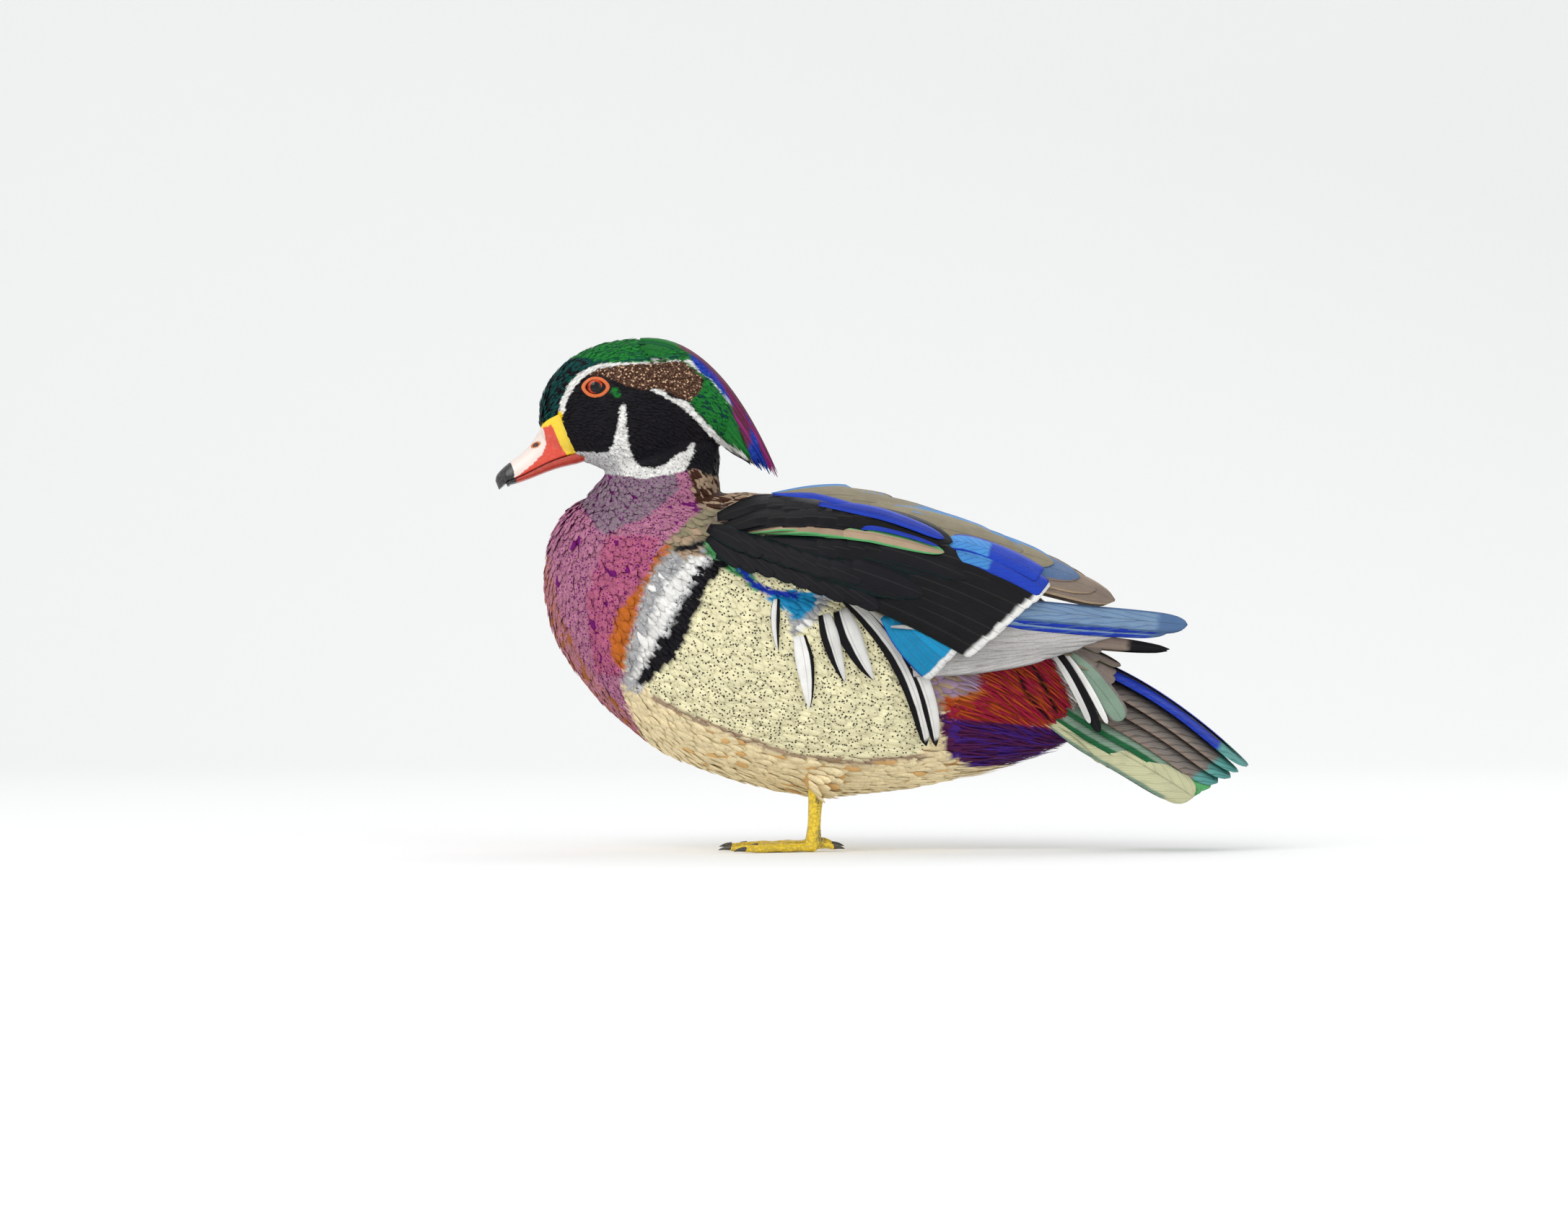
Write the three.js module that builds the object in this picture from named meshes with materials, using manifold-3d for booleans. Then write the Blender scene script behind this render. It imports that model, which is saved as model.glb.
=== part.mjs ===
// A drake wood duck, life size, standing at rest with its neck drawn in.
// Millimetres, +Z up. The bird faces -X, its left side is -Y, and its soles rest on Z = 0.
// Places on the bird are given from a point on the ground below its ankles.

import * as THREE from "three";
import Module from "manifold-3d";

const wasm = await Module();
wasm.setup();
const { Manifold, Mesh: SolidMesh } = wasm;

// Driving sizes
const GAP = 0.3; // clearance that touching pieces keep
const VANE = 0.7; // thickness of a feather vane near its root
const WIDTH = 103; // body width without the wings
const HEAD_AT = [-85, 178]; // x and z of the throat's lowest point, where the head's own frame starts
const BILL_PITCH = 22; // degrees that the bill's mouth line points below level
const EYE_RADIUS = 5.9;
const EYE_AT = [-19, 43]; // in the head's frame
const LEG_SPREAD = 24; // distance of each leg from the bird's middle plane
const ANKLE_Z = 27.4;
const TOE_LENGTHS = { inner: 31, middle: 40, outer: 36, hind: 10 };
const CLAW = 5.5;

// Colours of the live bird
const COLOUR = {
  crown: 0x1f7a35,
  face: 0x15121a,
  bronze: 0x6f5b48,
  plum: 0x9b4a78,
  cream: 0xe6dcab,
  maroon: 0x7a1238,
  black: 0x16151a,
  slate: 0x5f6f66,
  scarlet: 0xe2492f,
  coral: 0xd98a70,
  iris: 0xc23a1a,
  ochre: 0xe8b614,
  horn: 0x2a2622,
};
const FINISH = {
  crown: { roughness: 0.35, metalness: 0.35 },
  black: { roughness: 0.4, metalness: 0.2 },
  iris: { roughness: 0.05, metalness: 0 },
};

const radians = THREE.MathUtils.degToRad;
const mix = THREE.MathUtils.lerp;
const vector = (x, y, z) => new THREE.Vector3(x, y, z);

// A smooth height through [x, value] points, level with its neighbours' slope at each.
function smooth(points) {
  const last = points.length - 1;
  const slope = (i) => {
    const [a, b] = [points[Math.max(i - 1, 0)], points[Math.min(i + 1, last)]];
    return (b[1] - a[1]) / (b[0] - a[0]);
  };
  return (x) => {
    if (x <= points[0][0]) return points[0][1];
    if (x >= points[last][0]) return points[last][1];
    const i = points.findIndex((p) => p[0] > x) - 1;
    const [[x0, y0], [x1, y1]] = [points[i], points[i + 1]];
    const span = x1 - x0;
    const t = (x - x0) / span;
    return (
      y0 * (1 + 2 * t) * (1 - t) ** 2 +
      y1 * t * t * (3 - 2 * t) +
      slope(i) * span * t * (1 - t) ** 2 +
      slope(i + 1) * span * t * t * (t - 1)
    );
  };
}

// A closed solid from points and triangles, turned to face out.
function closed(points, faces) {
  let volume = 0;
  for (const [a, b, c] of faces)
    volume += points[a].dot(vector(0, 0, 0).crossVectors(points[b], points[c]));
  const turned = volume < 0 ? faces.map(([a, b, c]) => [a, c, b]) : faces;
  const geometry = new THREE.BufferGeometry()
    .setFromPoints(points)
    .setIndex(turned.flat());
  return solidOf(geometry);
}

function solidOf(geometry) {
  return new Manifold(
    new SolidMesh({
      numProp: 3,
      vertProperties: new Float32Array(geometry.attributes.position.array),
      triVerts: new Uint32Array(geometry.index.array),
    }),
  );
}

// A solid through rings of points, closed at both ends.
function loft(rings) {
  const sides = rings[0].length;
  const points = rings.flat();
  const faces = [];
  for (let i = 0; i + 1 < rings.length; i++)
    for (let j = 0; j < sides; j++) {
      const k = (j + 1) % sides;
      const [a, b] = [i * sides, (i + 1) * sides];
      faces.push([a + j, a + k, b + k], [a + j, b + k, b + j]);
    }
  for (const [start, way] of [
    [0, -1],
    [(rings.length - 1) * sides, 1],
  ]) {
    const middle = points.length;
    const ring = points.slice(start, start + sides);
    points.push(
      ring.reduce((sum, p) => sum.add(p), vector(0, 0, 0)).divideScalar(sides),
    );
    for (let j = 0; j < sides; j++) {
      const pair = [start + j, start + ((j + 1) % sides)];
      faces.push(way > 0 ? [...pair, middle] : [pair[1], pair[0], middle]);
    }
  }
  return closed(points, faces);
}

// A round limb along a path, with a radius at each point and an optional flattening.
function limb(path, radii, sides = 10, flat = 1) {
  const rings = path.map((p, i) => {
    const [before, after] = [path[Math.max(i - 1, 0)], path[Math.min(i + 1, path.length - 1)]];
    const along = vector(0, 0, 0).subVectors(after, before).normalize();
    const across = vector(0, 0, 0).crossVectors(along, vector(0.02, 0.01, 1)).normalize();
    const up = vector(0, 0, 0).crossVectors(across, along);
    return Array.from({ length: sides }, (_, j) => {
      const angle = (j / sides) * 2 * Math.PI;
      return p
        .clone()
        .addScaledVector(across, radii[i] * Math.cos(angle))
        .addScaledVector(up, radii[i] * flat * Math.sin(angle));
    });
  });
  return loft(rings);
}

function join(pieces) {
  return Manifold.union(pieces);
}

// The largest closed body of a solid, which drops loose scraps and fills sealed hollows.
function whole(solid) {
  const bodies = solid.decompose().filter((b) => b.volume() > 0);
  return bodies.sort((a, b) => b.volume() - a.volume())[0];
}

// The outline of a vane: the half-width at each share of its length.
const OUTLINE = {
  flight: [[0, 0.5], [0.3, 0.95], [0.7, 1], [0.92, 0.62], [1, 0.18]],
  broad: [[0, 0.6], [0.4, 1], [0.82, 0.85], [1, 0.25]],
  square: [[0, 0.6], [0.45, 1], [0.96, 1], [1, 0.75]],
  lock: [[0, 0.7], [0.3, 1], [0.6, 0.85], [0.85, 0.45], [1, 0.08]],
};

// A thin vane from a function of the share along and across it, which gives a point on its face
// and the way out of that face. Both faces are split alike.
function plate(outline, columns, thickness, at) {
  const rows = outline.length;
  const [top, bottom] = [[], []];
  for (const [t, w] of outline)
    for (let c = 0; c < columns; c++) {
      const { point, out } = at(t, w * (-1 + (2 * c) / (columns - 1)));
      const depth = (thickness / 2) * (1 - 0.45 * t ** 3);
      top.push(point.clone().addScaledVector(out, depth));
      bottom.push(point.clone().addScaledVector(out, -depth));
    }
  const under = top.length;
  const faces = [];
  const quad = (a, b, c, d) => faces.push([a, b, c], [a, c, d]);
  for (let i = 0; i + 1 < rows; i++) {
    const [a, b] = [i * columns, (i + 1) * columns];
    for (let c = 0; c + 1 < columns; c++) {
      faces.push([a + c, b + c, b + c + 1], [a + c, b + c + 1, a + c + 1]);
      faces.push([under + a + c, under + b + c + 1, under + b + c]);
      faces.push([under + a + c, under + a + c + 1, under + b + c + 1]);
    }
    const edge = columns - 1;
    quad(under + a, under + b, b, a);
    quad(a + edge, b + edge, under + b + edge, under + a + edge);
  }
  for (let c = 0; c + 1 < columns; c++) {
    const end = (rows - 1) * columns + c;
    quad(under + c, c, c + 1, under + c + 1);
    quad(end, under + end, under + end + 1, end + 1);
  }
  return closed([...top, ...bottom], faces);
}

// Cross-sections of the body, from breast to tail root: [x, top, bottom, share of the width].
const BODY = [
  [-128.5, 131, 126, 0.03],
  [-126.5, 145, 112, 0.27],
  [-121, 159, 97, 0.47],
  [-110, 169.5, 80, 0.67],
  [-95, 175, 64, 0.84],
  [-75, 175.5, 48, 0.95],
  [-50, 173, 37, 1],
  [-25, 171.5, 29.5, 1],
  [0, 169.5, 25, 0.98],
  [25, 164.5, 26.5, 0.93],
  [50, 156, 29.5, 0.84],
  [75, 144.5, 35, 0.71],
  [95, 131, 41, 0.57],
  [110, 119.5, 47, 0.44],
  [122, 108.5, 54, 0.32],
  [131, 97, 61, 0.2],
  [135, 86, 68, 0.07],
];
const BODY_ROUND = 2.15;
const BODY_SIDES = 24;

// Cross-sections of the folded wings' outer face: [x, top, bottom, half-width].
const WING = [
  [-62, 176, 50, 50],
  [-40, 176.5, 50, 54],
  [-10, 176, 50, 56.5],
  [20, 171.5, 50, 56],
  [50, 162.5, 50, 51.5],
  [80, 152, 52, 43.5],
  [110, 139.5, 58, 33],
  [140, 127.5, 70, 22],
  [182, 121, 85, 11],
];

// Sections that change smoothly along x, with a round-cornered ellipse in each.
function tube(table, round, grow = 0) {
  const [top, bottom, half] = [1, 2, 3].map((k) => smooth(table.map((r) => [r[0], r[k]])));
  const half_height = (x) => (top(x) - bottom(x)) / 2 + grow;
  const middle = (x) => (top(x) + bottom(x)) / 2;
  const width = (x) => half(x) + grow;
  return {
    // The distance from the middle plane to the side at a place seen from the side.
    side: (x, z) => {
      const high = Math.min(Math.abs(z - middle(x)) / half_height(x), 0.995);
      return width(x) * (1 - high ** round) ** (1 / round);
    },
    ring: (x, sides, share = 1) =>
      Array.from({ length: sides }, (_, j) => {
        const angle = ((j + 0.5) / sides) * 2 * Math.PI;
        const [c, s] = [Math.cos(angle), Math.sin(angle)];
        const bend = (v) => Math.sign(v) * Math.abs(v) ** (2 / round);
        return vector(
          x,
          width(x) * bend(c) * share,
          middle(x) + half_height(x) * bend(s) * share,
        );
      }),
  };
}

const bodyTable = BODY.map(([x, top, bottom, share]) => [x, top, bottom, (share * WIDTH) / 2]);
const body = tube(bodyTable, BODY_ROUND);
const wing = tube(WING, 2.3);

function bodySolid(grow = 0) {
  const shape = tube(bodyTable, BODY_ROUND, grow);
  return loft(BODY.map(([x]) => shape.ring(x, BODY_SIDES)));
}

// The way out of a side surface, by its slope, for the left side of the bird.
function outward(surface, x, z) {
  const step = 0.5;
  const slope_x = (surface.side(x + step, z) - surface.side(x - step, z)) / (2 * step);
  const slope_z = (surface.side(x, z + step) - surface.side(x, z - step)) / (2 * step);
  return vector(-slope_x, -1, -slope_z).normalize();
}

// A vane that lies along a side surface of the left side, from root to tip seen from the side.
// Its lift over the surface goes from one value at the root to another at the tip.
function sideVane(surface, { root, tip, half, bow = 0, lift, outline = "flight", columns = 2, side = -1 }) {
  const run = new THREE.Vector2(tip[0] - root[0], tip[1] - root[1]);
  const across = new THREE.Vector2(-run.y, run.x).normalize();
  return plate(OUTLINE[outline], columns, VANE, (t, w) => {
    const swing = bow * 4 * t * (1 - t) + w * half;
    const x = root[0] + run.x * t + across.x * swing;
    const z = root[1] + run.y * t + across.y * swing;
    const out = outward(surface, x, z);
    const camber = 0.08 * half * (1 - w * w);
    const rise = mix(lift[0], lift[1], Math.min(1, t * 2.2)) + camber;
    const point = vector(x, -surface.side(x, z), z).addScaledVector(out, rise);
    return side < 0
      ? { point, out }
      : { point: point.setY(-point.y), out: out.setY(-out.y) };
  });
}

// Head

// Cross-sections of the head in its own frame: [x, top, bottom, half-width].
const HEAD = [
  [-46.6, 31, 27, 1.5],
  [-45.2, 39, 20, 6.5],
  [-42, 46.5, 14, 9],
  [-36, 54, 11, 11.6],
  [-28, 60, 8.5, 14],
  [-19, 64, 5, 16.4],
  [-9, 66.4, 1, 19.2],
  [2, 67, -1.2, 21.2],
  [13, 65.6, 0.4, 21],
  [23, 62, 5, 18.4],
  [32, 55.5, 10, 14.6],
  [39, 48, 15, 10.5],
  [44.5, 40.5, 21, 6],
  [47, 33, 27, 2],
];
const HEAD_SIDES = 22;
const CHEEK = 0.34; // how much wider the cheeks are than the crown

function headSide(x, z) {
  const shape = tube(HEAD, 2);
  const [top, bottom] = [1, 2].map((k) => smooth(HEAD.map((r) => [r[0], r[k]]))(x));
  const high = THREE.MathUtils.clamp((2 * z - top - bottom) / (top - bottom), -0.99, 0.99);
  return shape.side(x, z) * (1 - CHEEK * high);
}

function headSolid(grow = 0) {
  const shape = tube(HEAD, 2, grow);
  const rings = HEAD.map(([x, top, bottom]) =>
    shape.ring(x, HEAD_SIDES).map((p) => {
      const high = (2 * p.z - top - bottom) / (top - bottom);
      return p.setY(p.y * (1 - CHEEK * THREE.MathUtils.clamp(high, -1, 1)));
    }),
  );
  return loft(rings).translate([HEAD_AT[0], 0, HEAD_AT[1]]);
}

const eyeCentre = (side) => [
  HEAD_AT[0] + EYE_AT[0],
  side * (headSide(...EYE_AT) - EYE_RADIUS * 0.8),
  HEAD_AT[1] + EYE_AT[1],
];

function ball(radius, centre, wide = 14, high = 8) {
  const rings = Array.from({ length: high + 1 }, (_, i) => {
    const angle = mix(0.12, Math.PI - 0.12, i / high);
    return Array.from({ length: wide }, (_, j) => {
      const turn = (j / wide) * 2 * Math.PI;
      return vector(
        centre[0] + radius * Math.sin(angle) * Math.cos(turn),
        centre[1] - radius * Math.cos(angle),
        centre[2] + radius * Math.sin(angle) * Math.sin(turn),
      );
    });
  });
  return loft(rings);
}

// The rim of lids round an eye: an almond ring that stands a little out of the cheek.
function lids(side) {
  const sides = 18;
  const rim = [
    [0, 0.4],
    [1.3, 1.1],
    [2.3, 0.5],
    [1.6, -3],
    [-0.6, -3],
  ];
  const rings = Array.from({ length: sides }, (_, j) => {
    const turn = (j / sides) * 2 * Math.PI;
    const corner = 1 + 0.1 * Math.cos(turn) ** 8;
    return rim.map(([wide, out]) => {
      const x = EYE_AT[0] + (5 + wide) * 1.06 * corner * Math.cos(turn);
      const z = EYE_AT[1] + (4.3 + wide) * Math.sin(turn);
      const flat = headSide(...EYE_AT);
      return vector(HEAD_AT[0] + x, side * (mix(headSide(x, z), flat, 0.6) + out), HEAD_AT[1] + z);
    });
  });
  const points = rings.flat();
  const faces = [];
  rings.forEach((_, i) =>
    rim.forEach((_, j) => {
      const [a, b] = [i * rim.length, ((i + 1) % sides) * rim.length];
      const k = (j + 1) % rim.length;
      faces.push([a + j, a + k, b + k], [a + j, b + k, b + j]);
    }),
  );
  return closed(points, faces);
}

// The crest: long locks from the crown and nape that fall back to one tip.
const CREST_CUT = { normal: [0.83, 0, 0.56], through: [20, 52] };
const CREST_ROWS = 6;

function crestLocks() {
  const top = [[2, 66], [26, 68], [48, 46], [69, -1.5]];
  const low = [[22, 34], [33, 27], [42, 15], [54, 7]];
  const locks = [];
  for (let row = 0; row < CREST_ROWS; row++) {
    const down = row / (CREST_ROWS - 1);
    const [a, b, c, d] = top.map((p, i) => [0, 1].map((k) => mix(p[k], low[i][k], down)));
    const path = new THREE.CubicBezierCurve3(
      vector(a[0], 0, a[1]),
      vector(b[0], 0, b[1]),
      vector(c[0], 0, c[1]),
      vector(d[0], 0, d[1]),
    );
    for (const side of [-1, 1]) {
      locks.push(
        plate(OUTLINE.lock, 3, 1.3, (t, w) => {
          const p = path.getPoint(t);
          const along = path.getTangent(t);
          const out_y = Math.sin(Math.PI * Math.min(1, (down + 0.14) * 0.62));
          const out = vector(-along.z * (1 - out_y), side * (0.35 + out_y), along.x * (1 - out_y));
          out.normalize();
          const across = vector(0, 0, 0).crossVectors(along, out).normalize();
          const spread = mix(15.5, 1.4, t ** 0.8) * out_y + (row === 0 ? 0.9 : 0);
          return {
            point: vector(HEAD_AT[0] + p.x, side * spread, HEAD_AT[1] + p.z).addScaledVector(
              across,
              w * mix(5.2, 3.4, t),
            ),
            out,
          };
        }),
      );
    }
  }
  return locks;
}

function trim(solid, normal, through, keep, gap = GAP / 2) {
  const n = vector(...normal).normalize();
  const offset = n.x * through[0] + n.z * through[1];
  return keep > 0
    ? solid.trimByPlane([n.x, 0, n.z], offset + gap)
    : solid.trimByPlane([-n.x, 0, -n.z], -offset + gap);
}

const crestThrough = [HEAD_AT[0] + CREST_CUT.through[0], HEAD_AT[1] + CREST_CUT.through[1]];

function headNodes() {
  const skull = headSolid();
  const [face, nape] = [-1, 1].map((keep) =>
    trim(skull, CREST_CUT.normal, crestThrough, keep),
  );
  const sockets = [-1, 1].map((side) => ball(EYE_RADIUS + GAP, eyeCentre(side)));
  const head = join([face, lids(-1), lids(1)]).subtract(join(sockets));
  const behind = trim(join(crestLocks()), CREST_CUT.normal, crestThrough, 1);
  return { head: whole(head), crest: whole(join([nape, behind])) };
}

// Bill, in a frame along the mouth line: [forward, top, half-width].
const BILL = [
  [-9, 22, 8],
  [0, 20, 8.3],
  [5, 18.6, 8.1],
  [9, 16.8, 7.7],
  [13.5, 13.4, 7.2],
  [18, 10.5, 6.9],
  [24, 8.3, 7],
  [30, 6.8, 7.3],
  [34.5, 5.2, 6.6],
  [37.6, 3.4, 4.2],
  [39, 1.4, 2],
];
const GAPE = [-30.7, 12];
const LIP = 0.55; // how far the mouth line bows

function billPoint(forward, across, up) {
  const pitch = radians(BILL_PITCH);
  return vector(
    HEAD_AT[0] + GAPE[0] - forward * Math.cos(pitch) - up * Math.sin(pitch),
    across,
    HEAD_AT[1] + GAPE[1] - forward * Math.sin(pitch) + up * Math.cos(pitch),
  );
}

const lipLine = (forward) =>
  LIP * Math.sin((forward / 39) * 2 * Math.PI) - (forward > 33 ? (forward - 33) * 0.42 : 0);

function billNodes() {
  const sides = 16;
  const upper = loft(
    BILL.map(([forward, top, half]) =>
      Array.from({ length: sides }, (_, j) => {
        const angle = ((j + 0.5) / sides) * 2 * Math.PI;
        const [c, s] = [Math.cos(angle), Math.sin(angle)];
        const low = lipLine(forward);
        return s > 0
          ? billPoint(forward, half * Math.sign(c) * Math.abs(c) ** 0.75, low + (top - low) * s ** 1.1)
          : billPoint(forward, half * Math.sign(c) * Math.abs(c) ** 0.35, low + 0.8 * s);
      }),
    ),
  );
  const lower = loft(
    BILL.slice(0, 9).map(([forward, , half]) => {
      const depth = mix(4.6, 1.5, Math.max(forward, 0) / 35);
      return Array.from({ length: sides }, (_, j) => {
        const angle = ((j + 0.5) / sides) * 2 * Math.PI;
        const [c, s] = [Math.cos(angle), Math.sin(angle)];
        const top = lipLine(forward) - 0.8 - GAP;
        return billPoint(
          forward,
          (half - 1) * Math.sign(c) * Math.abs(c) ** 0.6,
          s > 0 ? top : top + depth * s,
        );
      }).map((p, j) => p.addScaledVector(vector(0, 0, 1), j < sides / 2 ? 0 : -1e-3));
    }),
  );
  const nostrils = [-1, 1].map((side) =>
    limb(
      [billPoint(14.5, side * 3.1, 9.2), billPoint(14.5, side * 9, 11)],
      [1.5, 1.5],
      10,
      0.6,
    ),
  );
  const cut = headSolid(GAP);
  return {
    bill_upper: whole(upper.subtract(cut).subtract(join(nostrils))),
    bill_lower: whole(lower.subtract(cut)),
  };
}

// Body, neck and the feathers that grow from them

const NECK = [
  [150, -77, 42, 33],
  [162, -77, 36, 29],
  [172, -75.5, 31.5, 26],
  [181, -72.5, 28, 22.5],
  [191, -70, 26, 20],
  [203, -68, 22, 17],
];

function neckSolid() {
  const sides = 20;
  return loft(
    NECK.map(([z, x, long, wide]) =>
      Array.from({ length: sides }, (_, j) => {
        const angle = (j / sides) * 2 * Math.PI;
        return vector(x + long * Math.cos(angle), wide * Math.sin(angle), z);
      }),
    ),
  );
}

const NECK_CUT = { normal: [-0.2, 0, 0.98], through: [-85, 160] };
const BREAST_CUT = { normal: [0.84, 0, -0.54], through: [-68, 108] };
const RUMP_CUT = { normal: [1, 0, 0.12], through: [64, 85] };
const TAIL_CUT = { normal: [1, 0, -0.35], through: [112, 78] };

// The barred feathers of the upper flank: root, tip, half-width and bow of each, from front to rear.
const FLANK = [
  { root: [-17, 118], tip: [-17.5, 97], half: 2.8, bow: -1 },
  { root: [-6, 106], tip: [-1.5, 71], half: 4.6, bow: 1 },
  { root: [3, 113], tip: [14.5, 82], half: 4.4, bow: 0 },
  { root: [11, 117], tip: [27, 84], half: 4.8, bow: 1.5 },
  { root: [17, 114], tip: [51, 52], half: 4.4, bow: 6.5 },
  { root: [26, 110], tip: [57.5, 51], half: 4.2, bow: 5 },
];

function torsoFeathers(side) {
  return FLANK.map((feather) =>
    sideVane(body, { ...feather, lift: [-1, 0.9], side }),
  );
}

// The long soft plumes that droop over the vent.
function rumpPlumes(side) {
  return Array.from({ length: 5 }, (_, i) =>
    sideVane(body, {
      root: [73 + i * 7, 92 - i * 0.6],
      tip: [77 + i * 12, 46.5 + i * 1.4],
      half: 7.4,
      bow: -3 + i * 1.6,
      lift: [-1, 0.5 + 0.75 * (i % 2)],
      outline: "broad",
      side,
    }),
  );
}

// The tail: seven pairs of feathers in a roof-shaped fan, with long coverts above and below.
const TAIL_PAIRS = 5;

function tailVane(side, { root, tip, half, tilt, drop, arch = 4, outline = "flight" }) {
  const path = new THREE.QuadraticBezierCurve3(
    vector(...root),
    vector((root[0] + tip[0]) / 2, (root[1] + tip[1]) / 2, (root[2] + tip[2]) / 2 + arch),
    vector(...tip),
  );
  return plate(OUTLINE[outline], 2, VANE, (t, w) => {
    const p = path.getPoint(t);
    const along = path.getTangent(t);
    const across = vector(0, Math.cos(tilt), -Math.sin(tilt));
    across.addScaledVector(along, -across.dot(along)).normalize();
    const out = vector(0, 0, 0).crossVectors(along, across).normalize();
    if (out.z < 0) out.negate();
    const rise = -drop * Math.min(1, t * 3) - 0.07 * half * w * w * half * 0.3;
    p.addScaledVector(across, w * half).addScaledVector(out, rise);
    return { point: p.setY(p.y * side), out: out.setY(out.y * side) };
  });
}

function tailFeathers(side) {
  const vanes = [];
  for (let pair = 0; pair < TAIL_PAIRS; pair++) {
    const out = pair / (TAIL_PAIRS - 1);
    vanes.push(
      tailVane(side, {
        root: [117 - 3 * out, 3 + 12 * out, 96 - 30 * out],
        tip: [207 - 27 * out, 5.5 + 29 * out, 40 - 12 * out],
        half: mix(12, 10.5, out),
        tilt: mix(0.3, 1.1, out),
        drop: pair * 0.95,
        arch: mix(19, 5, out),
      }),
    );
  }
  for (let k = 0; k < 2; k++)
    vanes.push(
      tailVane(side, {
        root: [112 + k, 3 + 8 * k, 104 - 6 * k],
        tip: [154 - 7 * k, 5 + 10 * k, 88.5 - 9 * k],
        half: 9.5,
        tilt: 0.35 + 0.25 * k,
        drop: k * 0.4 - 2.5,
        outline: "broad",
      }),
      tailVane(side, {
        root: [117, 3 + 5 * k, 58 + 2 * k],
        tip: [158 - 5 * k, 6 + 8 * k, 33 + 4 * k],
        half: 9,
        tilt: -0.15,
        drop: 0,
        outline: "broad",
      }),
    );
  return vanes;
}

function bodyNodes() {
  const cut = headSolid(GAP);
  const thighs = [thighSolid(GAP), thighSolid(GAP).mirror([0, 1, 0])];
  const flesh = bodySolid().subtract(join(thighs));
  const upper = join([flesh, neckSolid()]).subtract(cut);
  const neck = trim(upper, NECK_CUT.normal, NECK_CUT.through, 1).trimByPlane([-1, 0, 0], 36);
  const neckCutter = trim(flesh, NECK_CUT.normal, NECK_CUT.through, 1, -GAP / 2);
  const below = flesh.subtract(neckCutter.trimByPlane([-1, 0, 0], 36 - GAP)).subtract(cut);
  const breast = trim(below, BREAST_CUT.normal, BREAST_CUT.through, -1);
  const rest = trim(below, BREAST_CUT.normal, BREAST_CUT.through, 1);
  const torso = trim(rest, RUMP_CUT.normal, RUMP_CUT.through, -1);
  const rear = trim(rest, RUMP_CUT.normal, RUMP_CUT.through, 1);
  const rump = trim(rear, TAIL_CUT.normal, TAIL_CUT.through, -1);
  const tail = trim(rear, TAIL_CUT.normal, TAIL_CUT.through, 1);
  const both = (make) => [...make(-1), ...make(1)];
  const grown = (core, feathers, cuts) =>
    whole(
      join([
        core,
        cuts.reduce(
          (solid, [plane, keep]) => trim(solid, plane.normal, plane.through, keep),
          join(feathers),
        ),
      ]),
    );
  return {
    neck: whole(neck),
    breast: whole(breast),
    torso: grown(torso, both(torsoFeathers), [[RUMP_CUT, -1]]),
    rump: grown(rump, both(rumpPlumes), [[RUMP_CUT, 1], [TAIL_CUT, -1]]),
    tail: grown(tail, both(tailFeathers), [[TAIL_CUT, 1]]),
  };
}

// Wings

// The folded arm seen from the side, as a smooth closed outline.
const ARM = [
  [-54, 156], [-50, 144], [-38, 133], [-22, 124], [-4, 121], [14, 119.5], [32, 112],
  [47, 102], [55, 112], [52, 132], [38, 151], [14, 163.5], [-12, 169.5], [-38, 168.5],
];

function armCore() {
  const shape = new THREE.Shape();
  shape.moveTo(...ARM[0]);
  shape.splineThru([...ARM.slice(1), ARM[0]].map((p) => new THREE.Vector2(...p)));
  const prism = new THREE.ExtrudeGeometry(shape, { depth: 90, bevelEnabled: false, curveSegments: 2 });
  prism.rotateX(Math.PI / 2); // the outline stands in the X and Z plane, and its depth runs to -Y
  const outline = solidFromLoose(prism);
  const outer = loft(
    Array.from({ length: 9 }, (_, i) => wing.ring(mix(-60, 62, i / 8), 28)),
  );
  return outer.intersect(outline).subtract(bodySolid(GAP));
}

// A solid from a geometry whose faces don't share their corners.
function solidFromLoose(geometry) {
  const position = geometry.attributes.position;
  const points = [];
  const places = new Map();
  const faces = [];
  const index = geometry.index ? Array.from(geometry.index.array) : [...Array(position.count).keys()];
  const corners = index.map((i) => {
    const p = vector(0, 0, 0).fromBufferAttribute(position, i);
    const key = p.toArray().map((v) => v.toFixed(3)).join();
    if (!places.has(key)) places.set(key, points.push(p) - 1);
    return places.get(key);
  });
  for (let i = 0; i < corners.length; i += 3) {
    const face = corners.slice(i, i + 3);
    if (new Set(face).size === 3) faces.push(face);
  }
  return closed(points, faces);
}

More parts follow.
